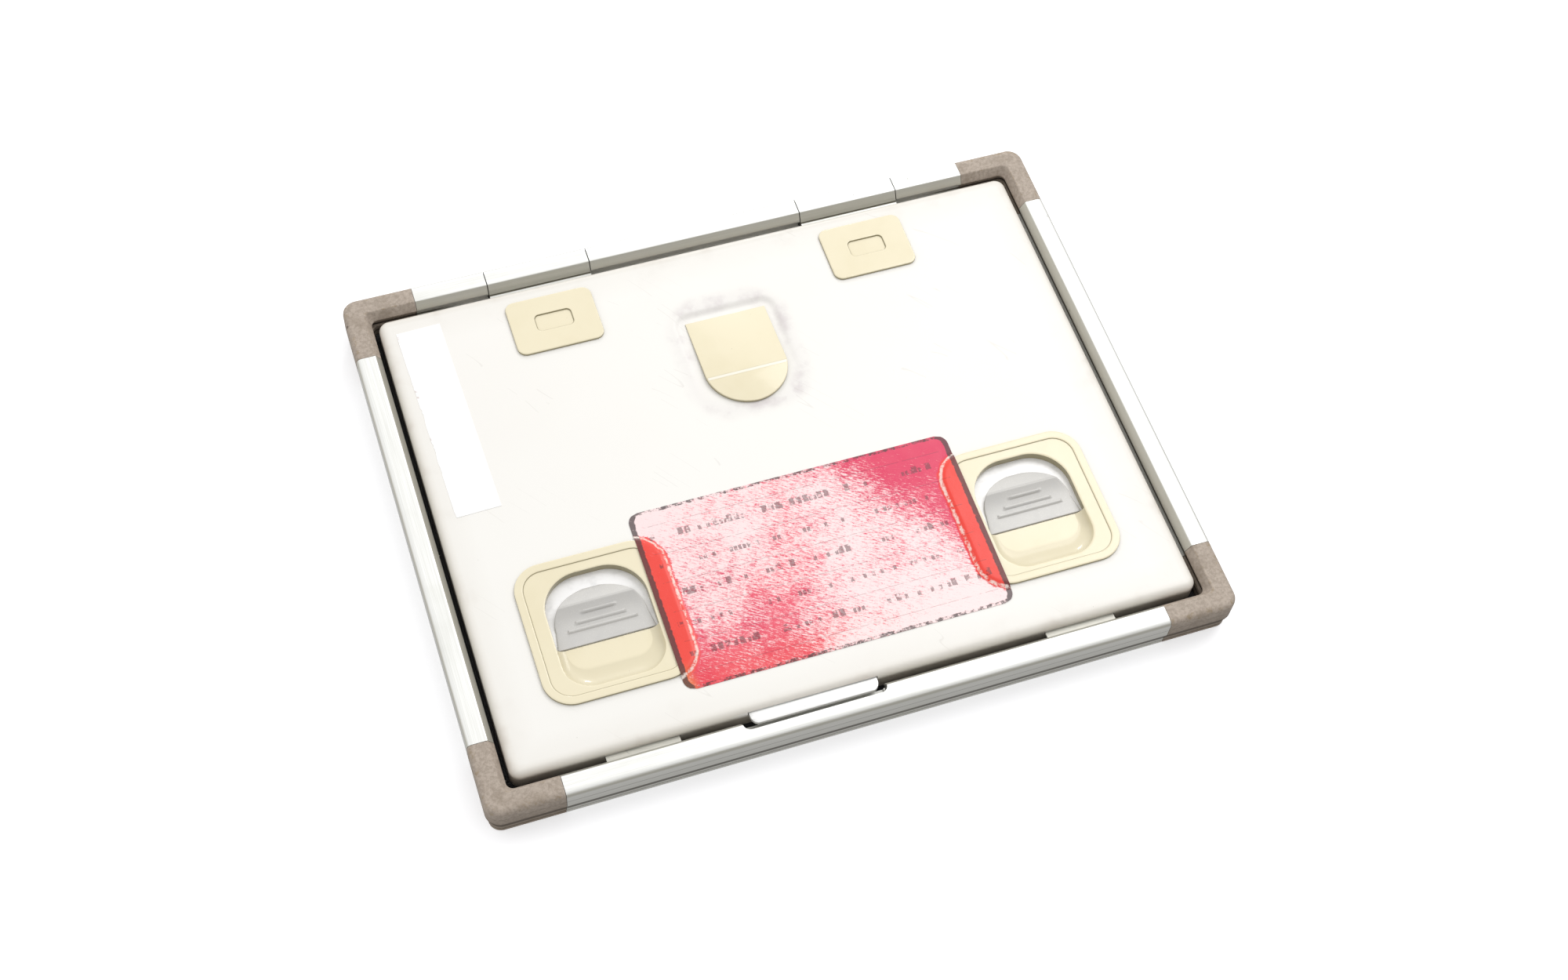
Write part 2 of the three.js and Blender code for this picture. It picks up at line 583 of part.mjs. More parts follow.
// leaf and knuckle in one section: u runs inwards from the frame's outer face
function hingeSection() {
  const knuckleFoot = pinZ - Math.sqrt(KNUCKLE_RADIUS ** 2 - PIN_INSET ** 2);
  const lidEdge = FRAME_D / 2 - lidHalfD;
  const armUnder = leafUnder - JOGGLE.drop;
  const armTop = sheetUnder - JOGGLE.drop;
  const armStart = PIN_INSET + Math.sqrt(KNUCKLE_RADIUS ** 2 - (pinZ - armUnder) ** 2);
  const leafEnd = lidEdge + LEAF_REACH;
  const from = Math.atan2(knuckleFoot - pinZ, -PIN_INSET);
  const to = Math.atan2(armUnder - pinZ, armStart - PIN_INSET);
  const slope = (RAIL_WIDTH - RAIL_TOP) / FLANK_DROP;
  const shape = new THREE.Shape();
  shape.moveTo(0, knuckleFoot);
  shape.absarc(PIN_INSET, pinZ, KNUCKLE_RADIUS, from, to);
  shape.lineTo(lidEdge + JOGGLE.under, armUnder);
  shape.lineTo(lidEdge + LEAF_THICKNESS, leafUnder);
  shape.lineTo(leafEnd, leafUnder);
  shape.lineTo(leafEnd, sheetUnder);
  shape.lineTo(lidEdge + LID_SHEET, sheetUnder);
  shape.lineTo(lidEdge - JOGGLE.over, armTop);
  shape.lineTo(RAIL_TOP + slope * (FRAME_H - armTop), armTop);
  shape.lineTo(RAIL_TOP, FRAME_H);
  shape.lineTo(TOP_ROUND, FRAME_H);
  shape.absarc(TOP_ROUND, FRAME_H - TOP_ROUND, TOP_ROUND, Math.PI / 2, Math.PI);
  const bore = new THREE.Path();
  bore.absarc(PIN_INSET, pinZ, PIN_RADIUS + PIN_FIT, 0, Math.PI * 2, true);
  shape.holes.push(bore);
  return shape;
}

function hingeLeaf() {
  const lidEdge = FRAME_D / 2 - lidHalfD;
  const trim = lidEdge + LID_EDGE_ROUND + LID_SHEET;
  const beyond = trim + LEAF_REACH;
  const [half, leafHalf] = [KNUCKLE_WIDTH / 2 + CUT, LEAF_WIDTH / 2];
  let leaf = alongX(hingeSection(), KNUCKLE_WIDTH)
    .subtract(box(-half, -leafHalf, trim, beyond, 0, FRAME_H))
    .subtract(box(leafHalf, half, trim, beyond, 0, FRAME_H));
  for (const end of [-1, 1]) {
    const x = (end * RIVET.pitch) / 2;
    const hole = cylinder(RIVET.radius + RIVET.fit, 0, FRAME_H, x, FRAME_D / 2 - rivetY, 24);
    leaf = leaf.subtract(hole);
  }
  return leaf;
}

function rivetPlaces(sign) {
  return [-1, 1].map((end) => sign * knuckleX + (end * RIVET.pitch) / 2);
}

// countersunk rivet, its shank along Z; grow and rise widen it into the hole that it needs
function rivetBody(grow = 0, rise = 0) {
  const { radius, head, top, sink, headHeight } = RIVET;
  const lathe = [
    [0, leafUnder - headHeight - grow],
    [head + grow, leafUnder - headHeight - grow],
    [head + grow, leafUnder],
    [radius + grow, leafUnder],
    [radius + grow, lidTop - sink],
    [top + grow, lidTop],
    ...(rise ? [[top + grow, lidTop + rise]] : []),
    [0, lidTop + rise],
  ].map(([r, z]) => new THREE.Vector2(r, z));
  return solid(new THREE.LatheGeometry(lathe, 20).rotateX(Math.PI / 2));
}

function hingePin() {
  const length = KNUCKLE_WIDTH + 2 * (KNUCKLE_SEAM + PIN_HOLD);
  const geometry = new THREE.CylinderGeometry(PIN_RADIUS, PIN_RADIUS, length, 16);
  return solid(geometry.rotateZ(Math.PI / 2).translate(0, 0, pinZ));
}

function hingeCover() {
  const { width, depth, radius, thickness } = HINGE_COVER;
  const { shift, sink } = COVER_RECESS;
  const [halfW, halfD] = [COVER_RECESS.width / 2, COVER_RECESS.depth / 2];
  const outline = roundedRect(-width / 2, width / 2, -depth / 2, depth / 2, radius);
  const pocket = roundedRect(-halfW, halfW, shift - halfD, shift + halfD, COVER_RECESS.radius);
  const top = lidTop + thickness;
  return plate(outline, lidTop, top).subtract(plate(pocket, top - sink, top + CUT));
}

function addHinges() {
  for (const { side, sign } of SIDES) {
    const x = sign * knuckleX;
    add("hinge_leaf_" + side, hingeLeaf(), ANODISED, x, FRAME_D / 2, 180);
    add("hinge_pin_" + side, hingePin(), STEEL, x, pinY);
    add("hinge_cover_" + side, hingeCover(), IVORY_PLASTIC, x, rivetY);
    const ends = ["a", "b"];
    rivetPlaces(sign).forEach((rivetX, i) =>
      add("hinge_rivet_" + side + "_" + ends[i], rivetBody(), STEEL, rivetX, rivetY),
    );
  }
}

// ---------------------------------------------------------------- latches, about x = 0

// window outline: flat towards the front, arched towards the hinge; grow widens it, not the front
function windowOutline(grow, rearGrow = grow) {
  const half = WINDOW.width / 2 + grow;
  const front = lidFront + WINDOW.front;
  const rear = lidFront + WINDOW.top + rearGrow;
  const r = WINDOW.radius + Math.min(grow, rearGrow);
  const shape = new THREE.Shape();
  shape.moveTo(-half, front);
  shape.lineTo(half, front);
  shape.lineTo(half, rear - r);
  shape.absarc(half - r, rear - r, r, 0, Math.PI / 2);
  shape.lineTo(-half + r, rear);
  shape.absarc(-half + r, rear - r, r, Math.PI / 2, Math.PI);
  return shape;
}

// plan of the finger scoop in front of the window, set in from its widest outline
function scoopOutline(sideInset, frontInset) {
  const half = WINDOW.width / 2 - sideInset;
  const rear = lidFront + WINDOW.front;
  const front = lidFront + SCOOP.front + frontInset;
  const r = SCOOP.radius - sideInset;
  const shape = new THREE.Shape();
  shape.moveTo(-half + r, front);
  shape.lineTo(half - r, front);
  shape.absarc(half - r, front + r, r, -Math.PI / 2, 0);
  shape.lineTo(half, rear);
  shape.lineTo(-half, rear);
  shape.absarc(-half + r, front + r, r, Math.PI, Math.PI * 1.5);
  return shape;
}

function scoopHollow() {
  const steps = 6;
  const depth = bezelFace - scoopFloor;
  const levels = [];
  for (let k = 0; k <= steps; k++) {
    const angle = (Math.PI / 2) * (k / steps);
    const inset = 1 - Math.sin(angle);
    const shape = scoopOutline(SCOOP.edge * inset, SCOOP.run * inset);
    const z = scoopFloor + depth * (1 - Math.cos(angle));
    levels.push({ points: shape.extractPoints(6).shape, z });
  }
  levels.push({ points: levels.at(-1).points, z: rimTop + CUT });
  return loft(levels);
}

function bezel() {
  const front = lidFront + BEZEL.front;
  const half = BEZEL.width / 2;
  const rear = front + BEZEL.depth;
  const rim = BEZEL_RIM.width;
  const inner = roundedRect(-half + rim, half - rim, front + rim, rear - rim, BEZEL.radius - rim);
  const wallFront = lidFront + SCOOP.front - BEZEL_WALL;
  const wallHalf = WINDOW.width / 2 + BEZEL_WALL;
  const wallRear = lidFront + WINDOW.top + BEZEL_WALL;
  const wallPlan = roundedRect(-wallHalf, wallHalf, wallFront, wallRear, SCOOP.radius);
  const windowFront = lidFront + WINDOW.front;
  const under = scoopFloor - SCOOP.floor;
  return plate(roundedRect(-half, half, front, rear, BEZEL.radius), lidTop, rimTop, 8)
    .subtract(plate(inner, bezelFace, rimTop + CUT, 8))
    .add(plate(wallPlan, under, lidTop))
    .subtract(plate(windowOutline(0), 0, rimTop + CUT, 10))
    .subtract(box(-wallHalf - CUT, wallHalf + CUT, windowFront, wallRear + CUT, 0, wallBottom))
    .subtract(scoopHollow());
}

function bolt() {
  const nose = -innerWallY + BOLT.nose;
  const rear = lidFront + BOLT.rear;
  const tail = lidFront + BOLT.tail;
  const tailHalf = BOLT.tailWidth / 2;
  const blade = polygon([
    [nose, boltBottom + BOLT.bevel],
    [nose + 2 * BOLT.bevel, boltBottom],
    [rear, boltBottom],
    [rear, boltTop],
    [nose, boltTop],
  ]);
  const stemY = lidFront + RIBS[1].y;
  const slotX = STEM.width / 2 + BOLT_FIT;
  const slotY = STEM.depth / 2 + BOLT_FIT;
  return alongX(blade, BOLT.width)
    .add(box(-tailHalf, tailHalf, rear - JOIN, tail, boltBottom, boltTop))
    .add(box(-tailHalf, tailHalf, tail - BOLT.thickness, tail, boltBottom, stopTop))
    .subtract(box(-slotX, slotX, stemY - slotY, stemY + slotY, 0, FRAME_H));
}

function guide() {
  const front = lidFront + GUIDE.front;
  const rear = lidFront + GUIDE.rear;
  const inner = BOLT.width / 2 + BOLT_FIT;
  const outer = inner + GUIDE.wall;
  const floorTop = innerPlateTop + GUIDE.thickness;
  const wallRear = lidFront + BOLT.rear + LATCH_TRAVEL;
  const stopHalf = BOLT.tailWidth / 2;
  const stop = rear - GUIDE.wall;
  const length = GUIDE.postLength + JOIN;
  const post = new THREE.CylinderGeometry(GUIDE.post, GUIDE.post, length, 12);
  return box(-outer, outer, front, wallRear, innerPlateTop, floorTop)
    .add(box(-stopHalf, stopHalf, wallRear - JOIN, rear, innerPlateTop, floorTop))
    .add(box(-outer, -inner, front, wallRear, innerPlateTop, boltTop))
    .add(box(inner, outer, front, wallRear, innerPlateTop, boltTop))
    .add(box(-stopHalf, stopHalf, stop, rear, innerPlateTop, stopTop))
    .add(solid(post.translate(0, stop + JOIN - length / 2, springZ)));
}

// compression spring between the bolt's tail and the guide's stop
class SpringLine extends THREE.Curve {
  constructor(y0, y1) {
    super();
    this.y0 = y0;
    this.y1 = y1;
  }

  getPoint(t, target = new THREE.Vector3()) {
    const angle = 2 * Math.PI * SPRING.turns * t;
    return target.set(
      SPRING.radius * Math.cos(angle),
      this.y0 + (this.y1 - this.y0) * t,
      springZ + SPRING.radius * Math.sin(angle),
    );
  }
}

function spring() {
  const clear = SPRING.wire + SHEET_SLOT_FIT / 2;
  const line = new SpringLine(
    lidFront + BOLT.tail + clear,
    lidFront + GUIDE.rear - GUIDE.wall - clear,
  );
  const section = new THREE.Shape();
  section.absarc(0, 0, SPRING.wire, 0, Math.PI * 2);
  return solid(
    new THREE.ExtrudeGeometry(section, {
      steps: SPRING.turns * 12,
      curveSegments: 3,
      bevelEnabled: false,
      extrudePath: line,
    }),
  );
}

// height of the finger ramp above the slider plate at a distance from the lid's front edge
function rampHeight(y) {
  const share = (y - WINDOW.front) / (GRIP.ridge - WINDOW.front);
  return GRIP.front + (GRIP.height - GRIP.front) * share ** RAMP_CURVE;
}

function sliderGrip() {
  const front = lidFront + WINDOW.front + SLIDER.fit;
  const centre = lidFront + (WINDOW.front + GRIP.ridge) / 2;
  const plan = new THREE.Shape();
  plan.moveTo(-GRIP.halfFront, front);
  plan.lineTo(GRIP.halfFront, front);
  plan.lineTo(GRIP.half, centre);
  plan.absellipse(0, centre, GRIP.half, lidFront + GRIP.top - centre, 0, Math.PI);
  const foot = sliderTop - JOIN;
  const crown = sliderTop + GRIP.height - GRIP_CROWN.drop;
  const side = [
    [front, foot],
    [lidFront + GRIP.top, foot],
    [lidFront + GRIP.top, sliderTop + GRIP_CROWN.edge],
    [lidFront + GRIP.ridge + GRIP_CROWN.length, crown],
  ];
  const steps = 8;
  for (let k = steps; k >= 0; k--) {
    const y = WINDOW.front + SLIDER.fit + (GRIP.ridge - WINDOW.front - SLIDER.fit) * (k / steps);
    side.push([lidFront + y, sliderTop + rampHeight(y)]);
  }
  const ramp = alongX(polygon(side), 2 * (GRIP.halfFront + CUT));
  return plate(plan, foot, FRAME_H, 14).intersect(ramp);
}

function slider() {
  const [stemX, stemHalfD] = [STEM.width / 2, STEM.depth / 2];
  const stemY = lidFront + RIBS[1].y;
  const stemBottom = boltBottom + BOLT_FIT;
  const frontCut = lidFront + WINDOW.front + SLIDER.fit;
  let body = plate(windowOutline(SLIDER.wing, SLIDER.rear), boltTop, sliderTop, 10)
    .subtract(box(-latchX, latchX, lidFront, frontCut, 0, FRAME_H))
    .add(sliderGrip())
    .add(box(-stemX, stemX, stemY - stemHalfD, stemY + stemHalfD, stemBottom, boltTop + JOIN));
  for (const { y, length } of RIBS) {
    const rib = new THREE.CapsuleGeometry(RIB_RADIUS, length - 2 * RIB_RADIUS, 3, 8);
    const z = sliderTop + rampHeight(y) + RIB_RADIUS / 4;
    body = body.add(solid(rib.rotateZ(Math.PI / 2).translate(0, lidFront + y, z)));
  }
  return body;
}

function addLatches() {
  for (const { side, sign } of SIDES) {
    const x = sign * latchX;
    add("latch_bezel_" + side, bezel(), IVORY_PLASTIC, x);
    add("latch_slider_" + side, slider(), GREY_PLASTIC, x);
    add("latch_bolt_" + side, bolt(), STEEL, x);
    add("latch_guide_" + side, guide(), BRIGHT_SHEET, x);
    add("latch_spring_" + side, spring(), STEEL, x);
  }
}

// ---------------------------------------------------------------- small parts on the lid

function liftTongue() {
  const tip = lidFront - TONGUE.reach;
  const bend = lidFront + LID_EDGE_ROUND;
  const hold = bend + TONGUE.hold;
  const side = polygon([
    [tip, tongueUnder],
    [bend, tongueUnder],
    [bend + TONGUE_STEP, tongueUnder + TONGUE_STEP],
    [hold, tongueUnder + TONGUE_STEP],
    [hold, sheetUnder],
    [bend, sheetUnder],
    [bend - TONGUE_STEP, tongueTop],
    [tip, tongueTop],
  ]);
  const half = TONGUE.width / 2;
  const plan = roundedRect(-half, half, tip, hold, TONGUE.radius);
  return alongX(side, 2 * half).intersect(plate(plan, 0, FRAME_H));
}

function centreTab() {
  const yOf = (fromHingeSide) => FRAME_D / 2 - fromHingeSide;
  const arcY = yOf(TAB.tip) + TAB.half;
  const plan = new THREE.Shape();
  plan.moveTo(TAB.half, yOf(TAB.top));
  plan.lineTo(-TAB.half, yOf(TAB.top));
  plan.lineTo(-TAB.half, arcY);
  plan.absarc(0, arcY, TAB.half, Math.PI, Math.PI * 2);
  const side = polygon([
    [yOf(TAB.tip), lidTop + TAB_CLEAR],
    [yOf(TAB_RECESS.end), lidTop + TAB_CLEAR],
    [yOf(TAB.top), recessFloorAt(TAB.top) + TAB_CLEAR],
    [yOf(TAB.top), lidTop + TAB_HEIGHT.top],
    [yOf(TAB.crease), lidTop + TAB_HEIGHT.crease],
    [yOf(TAB.tip), lidTop + TAB_HEIGHT.tip],
  ]);
  const stemTop = recessFloorAt(tabStemPlace) + TAB_CLEAR + JOIN;
  const stem = cylinder(TAB_STEM_RADIUS, sheetUnder - LID_SHEET, stemTop, 0, tabStemY);
  return alongX(side, 2 * (TAB.half + CUT))
    .intersect(plate(plan, 0, 2 * FRAME_H, 12))
    .add(stem);
}

// foil label that lies on the lid and climbs over the inner rims of both bezels
function formLabel() {
  const bezelEdge = latchX - BEZEL.width / 2;
  const half = bezelEdge + FORM_LABEL.overlap;
  const t = FORM_LABEL.thickness;
  const high = rimTop + LABEL_CLEAR;
  const [rampFoot, rampHead] = [bezelEdge - LABEL_RAMP.foot, bezelEdge - LABEL_RAMP.head];
  const right = [
    [rampFoot, lidTop],
    [rampHead, high],
    [half, high],
    [half, high + t],
    [rampHead - t / 2, high + t],
    [rampFoot - t / 2, lidTop + t],
  ];
  const left = right.map(([x, z]) => [-x, z]).reverse();
  const y0 = lidFront + FORM_LABEL.front;
  const y1 = y0 + FORM_LABEL.depth;
  const plan = roundedRect(-half, half, y0, y1, FORM_LABEL.radius);
  return alongY(polygon([...right, ...left]), y0, y1).intersect(plate(plan, 0, 2 * FRAME_H));
}

function addSmallParts() {
  add("lift_tongue", liftTongue(), BRIGHT_SHEET, TONGUE.x);
  add("centre_tab", centreTab(), IVORY_PLASTIC);
  add("form_label", formLabel(), LABEL_RED);
  const { width, depth, fromSide, y, turn, thickness } = BLANK_LABEL;
  const [halfW, halfD] = [width / 2, depth / 2];
  const blank = box(-halfW, halfW, -halfD, halfD, lidTop, lidTop + thickness);
  add("blank_label", blank, LABEL_WHITE, fromSide - FRAME_W / 2, y, turn);
}

addFrame();
addTubeSide();
addLidBody();
addHinges();
addLatches();
addSmallParts();

export default part;
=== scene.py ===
# %% [markdown]
# # A radiographic film cassette for 18 x 24 cm film
#
# The cassette is a flat aluminium frame with moulded corners and a pressed lid. The packed model
# fixes every size, place and moving body. This lesson builds a fine mesh round each piece and
# gives it the finish of the real material, so the first cell only loads the model and notes its box.

import math

import bmesh
import bpy
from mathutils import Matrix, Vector, noise
from mathutils.geometry import tessellate_polygon


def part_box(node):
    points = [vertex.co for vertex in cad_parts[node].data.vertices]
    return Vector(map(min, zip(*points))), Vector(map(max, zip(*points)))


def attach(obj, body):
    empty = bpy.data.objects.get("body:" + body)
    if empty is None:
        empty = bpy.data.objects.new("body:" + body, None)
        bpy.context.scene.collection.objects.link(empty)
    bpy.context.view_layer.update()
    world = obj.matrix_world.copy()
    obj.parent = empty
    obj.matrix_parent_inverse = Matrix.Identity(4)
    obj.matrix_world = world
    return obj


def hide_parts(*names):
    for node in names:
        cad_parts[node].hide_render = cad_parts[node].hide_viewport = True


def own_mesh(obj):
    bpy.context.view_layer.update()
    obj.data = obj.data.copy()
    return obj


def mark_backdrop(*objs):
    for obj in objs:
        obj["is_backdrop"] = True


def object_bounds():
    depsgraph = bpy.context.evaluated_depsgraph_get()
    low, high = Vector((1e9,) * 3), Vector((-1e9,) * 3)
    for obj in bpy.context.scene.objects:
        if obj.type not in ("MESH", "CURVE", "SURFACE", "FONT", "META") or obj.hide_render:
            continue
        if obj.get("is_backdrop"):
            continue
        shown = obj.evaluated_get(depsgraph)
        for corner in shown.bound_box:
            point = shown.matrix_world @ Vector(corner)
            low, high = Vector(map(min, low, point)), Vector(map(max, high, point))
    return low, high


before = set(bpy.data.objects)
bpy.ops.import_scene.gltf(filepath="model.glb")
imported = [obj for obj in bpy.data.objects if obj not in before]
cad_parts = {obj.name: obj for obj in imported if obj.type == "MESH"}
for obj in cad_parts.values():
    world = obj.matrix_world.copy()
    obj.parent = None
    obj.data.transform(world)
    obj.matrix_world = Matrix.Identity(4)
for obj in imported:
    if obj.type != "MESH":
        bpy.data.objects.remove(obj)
cad_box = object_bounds()
MM = 0.001

# %% [markdown]
# ## The camera
#
# The cassette is seen from its front left, from well above. A camera can be aimed by a target
# object, but three angles are easier to read and to change, so they are set directly. The lens is
# a normal one, and the small shift only moves the picture by a few thousandths of its width.

# %% Camera
LENS = 50.44
SENSOR_WIDTH = 36
SHIFT_X, SHIFT_Y = 0.0023, -0.0015
CAMERA_PLACE = (-0.16994, -0.38391, 0.68904)
CAMERA_ANGLES = (30.8031, -3.3518, -18.5966)

camera_data = bpy.data.cameras.new("camera")
camera_data.sensor_width = SENSOR_WIDTH
camera_data.lens = LENS
camera_data.shift_x = SHIFT_X
camera_data.shift_y = SHIFT_Y
camera = bpy.data.objects.new("camera", camera_data)
camera.location = CAMERA_PLACE
camera.rotation_euler = [math.radians(angle) for angle in CAMERA_ANGLES]
bpy.context.scene.collection.objects.link(camera)
bpy.context.scene.camera = camera
print("camera height", round(camera.location.z, 3), "m")

# %% [markdown]
# ## Reading sizes from the model
#
# Lengths in this lesson are in millimetres, because that is how such a cassette is drawn. One
# function reads the box of a node, and the sizes that many pieces share are taken from it once.

# %% Shared sizes
LEFT_RIGHT = (("left", -1), ("right", 1))


def box_mm(node):
    """Lowest and highest corner of a node of the model, in millimetres."""
    low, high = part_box(node)
    return low / MM, high / MM


frame_half = box_mm("corner_hinge_right")[1]
lid_low, lid_high = box_mm("lid_panel")
lid_top = lid_high.z
lid_front = lid_low.y
LID_SHEET = 1.2
print("lid", [round(v, 1) for v in lid_low], [round(v, 1) for v in lid_high])

# %% [markdown]
# ## Outlines
#
# Pressed and moulded pieces have no sharp corners: light always finds a small radius. So outlines
# are drawn with arcs. A bevel modifier could round them afterwards, but arcs that are drawn from
# the start keep the same number of points on every level, and that makes clean quads possible.

# %% Outlines with arcs
def arc(x, y, radius, start, end, steps):
    """Points on an arc between two angles in degrees, both ends included."""
    angles = [math.radians(start + (end - start) * k / steps) for k in range(steps + 1)]
    return [(x + radius * math.cos(a), y + radius * math.sin(a)) for a in angles]


def rounded_rect(x0, x1, y0, y1, radius, steps=8):
    """A rectangle with round corners, anticlockwise, with the same point count for any size."""
    return (
        arc(x1 - radius, y0 + radius, radius, -90, 0, steps)
        + arc(x1 - radius, y1 - radius, radius, 0, 90, steps)
        + arc(x0 + radius, y1 - radius, radius, 90, 180, steps)
        + arc(x0 + radius, y0 + radius, radius, 180, 270, steps)
    )


def filleted(corners, steps=4, support=0.5):
    """Rounds (u, v, radius) corners to (u, v, edge). Edge: 1 outside arc, -1 inside arc, 0 flat."""
    outline = []
    for k, (u, v, radius) in enumerate(corners):
        if radius == 0:
            outline.append((u, v, 0.0))
            continue
        here = Vector((u, v))
        before = Vector(corners[k - 1][:2]) - here
        after = Vector(corners[(k + 1) % len(corners)][:2]) - here
        half_angle = before.angle(after) / 2
        run = radius / math.tan(half_angle)
        convex = before.x * after.y - before.y * after.x < 0
        ends = [here + before.normalized() * run, here + after.normalized() * run]
        middle = here + (before.normalized() + after.normalized()).normalized() * (
            radius / math.sin(half_angle)
        )
        spokes = [(end - middle).normalized() for end in ends]
        if before.length > 2 * (run + support):
            outline.append((*(here + before.normalized() * (run + support)), 0.0))
        for i in range(steps + 1):
            spoke = spokes[0].slerp(spokes[1], i / steps)
            outline.append((*(middle + spoke * radius), 1.0 if convex else -1.0))
        if after.length > 2 * (run + support):
            outline.append((*(here + after.normalized() * (run + support)), 0.0))
    return outline


# %% [markdown]
# ## Small helpers
#
# Evenly spaced values, a soft step, the distance to a rounded rectangle and a turn about the
# vertical axis are used in most of the cells below.

# %% Small helpers
def spread(low, high, step):
    """Evenly spaced values from low to high, about step apart."""
    count = max(1, round((high - low) / step))
    return [low + (high - low) * k / count for k in range(count + 1)]


def smooth(value, low, high):
    """0 below low, 1 above high and a soft step between them."""
    share = min(1.0, max(0.0, (value - low) / (high - low)))
    return share * share * (3 - 2 * share)


def rect_distance(x, y, x0, x1, y0, y1, radius):
    """Distance to the edge of a rounded rectangle, negative inside it."""
    dx = abs(x - (x0 + x1) / 2) - (x1 - x0) / 2 + radius
    dy = abs(y - (y0 + y1) / 2) - (y1 - y0) / 2 + radius
    return math.hypot(max(dx, 0), max(dy, 0)) + min(max(dx, dy), 0) - radius


def turned(points, degrees, x, y):
    """Points turned about the vertical axis and then moved to x, y."""
    cosine, sine = math.cos(math.radians(degrees)), math.sin(math.radians(degrees))
    return [(x + p[0] * cosine - p[1] * sine, y + p[0] * sine + p[1] * cosine, p[2]) for p in points]


print("five values from 0 to 2:", spread(0, 2, 0.5))

# %% [markdown]
# ## Points and faces
#
# Nearly every fine mesh below is one of three things: a stack of loops, a section run along a
# line, or a grid with a skirt. Each helper returns points and faces in millimetres.

# %% Points and faces
def loft(loops, close=False, caps=True):
    """Faces over a stack of loops that all have the same number of points."""
    count = len(loops[0])
    faces = []
    for k in range(len(loops) if close else len(loops) - 1):
        low, high = k * count, ((k + 1) % len(loops)) * count
        for i in range(count):
            j = (i + 1) % count
            faces.append((low + i, low + j, high + j, high + i))
    if caps and not close:
        faces.append(tuple(reversed(range(count))))
        faces.append(tuple(range((len(loops) - 1) * count, len(loops) * count)))
    return [point for loop in loops for point in loop], faces


def run_along(section, holes, start, end):
    """A section (y, z) with holes, run along X from start to end and closed at both ends."""
    rings = [[(p[0], p[1]) for p in ring] for ring in (section, *holes)]
    flat = [point for ring in rings for point in ring]
    points = [(x, y, z) for x in (start, end) for y, z in flat]
    faces = []
    first = 0
    for ring in rings:
        for i in range(len(ring)):
            a, b = first + i, first + (i + 1) % len(ring)
            faces.append((a, b, b + len(flat), a + len(flat)))
        first += len(ring)
    caps = tessellate_polygon([[Vector((y, z, 0)) for y, z in ring] for ring in rings])
    faces += [tuple(cap) for cap in caps]
    faces += [tuple(i + len(flat) for i in reversed(cap)) for cap in caps]
    return points, faces


def skirted(grid, stages, floor):
    """A grid of (x, y, z) rows with a skirt of (out, down) stages, closed by a grid at floor(x, y)."""
    rows, columns = len(grid), len(grid[0])
    rim = [(0, c) for c in range(columns)]
    rim += [(r, columns - 1) for r in range(1, rows)]
    rim += [(rows - 1, c) for c in range(columns - 2, -1, -1)]
    rim += [(r, 0) for r in range(rows - 2, 0, -1)]
    points = [point for row in grid for point in row]
    faces = [
        (r * columns + c, r * columns + c + 1, (r + 1) * columns + c + 1, (r + 1) * columns + c)
        for r in range(rows - 1)
        for c in range(columns - 1)
    ]
    previous = [r * columns + c for r, c in rim]
    for out, down in stages:
        first = len(points)
        for i, (r, c) in enumerate(rim):
            x, y, z = grid[r][c]
            back, ahead = rim[i - 1], rim[(i + 1) % len(rim)]
            tangent = Vector(grid[ahead[0]][ahead[1]][:2]) - Vector(grid[back[0]][back[1]][:2])
            side = Vector((tangent.y, -tangent.x)).normalized() * out
            low = floor(x, y) if down is None else z - down
            points.append((x + side.x, y + side.y, low))
        level = list(range(first, first + len(rim)))
        for i in range(len(rim)):
            j = (i + 1) % len(rim)
            faces.append((previous[i], level[i], level[j], previous[j]))
        previous = level
    first = len(points)
    points += [(x, y, floor(x, y)) for row in grid for x, y, _ in row]
    bottom = [first + r * columns + c for r, c in rim]
    for i in range(len(rim)):
        j = (i + 1) % len(rim)
        faces.append((previous[i], bottom[i], bottom[j], previous[j]))
    faces += [tuple(first + i for i in reversed(face)) for face in faces[: (rows - 1) * (columns - 1)]]
    return points, faces


def block(x0, x1, y0, y1, z0, z1):
    """A plain box as a stack of two loops, for cutting."""
    loop = [(x0, y0), (x1, y0), (x1, y1), (x0, y1)]
    return loft([[(x, y, z) for x, y in loop] for z in (z0, z1)])


def cylinder(x, y, radius, z0, z1, sides=32):
    """An upright cylinder as a stack of two loops, for cutting and joining."""
    loop = arc(x, y, radius, 0, 360, sides)[:-1]
    return loft([[(px, py, z) for px, py in loop] for z in (z0, z1)])


print("a block has", len(block(0, 1, 0, 1, 0, 1)[1]), "faces")

# %% [markdown]
# ## From points to pieces
#
# One function turns points and faces into a piece: it welds them, points the faces outwards, marks
# the real creases as sharp, stores the edge value of each point, hides the nodes that the piece
# stands for and hangs it on the body it rides on. Two more apply modifiers and cut a piece with solids.

# %% Pieces
WELD = 0.002
CREASE = math.radians(38)


def weld(shape):
    """Joins points that lie on each other and drops edges and faces without any size."""
    bmesh.ops.remove_doubles(shape, verts=shape.verts, dist=WELD * MM)
    bmesh.ops.dissolve_degenerate(shape, edges=shape.edges, dist=WELD * MM)


def soften(piece):
    """Smooth shading everywhere but on creases sharper than CREASE."""
    shape = bmesh.new()
    shape.from_mesh(piece.data)
    for edge in shape.edges:
        edge.smooth = len(edge.link_faces) == 2 and edge.calc_face_angle(0) < CREASE
    for face in shape.faces:
        face.smooth = True
    shape.to_mesh(piece.data)
    shape.free()


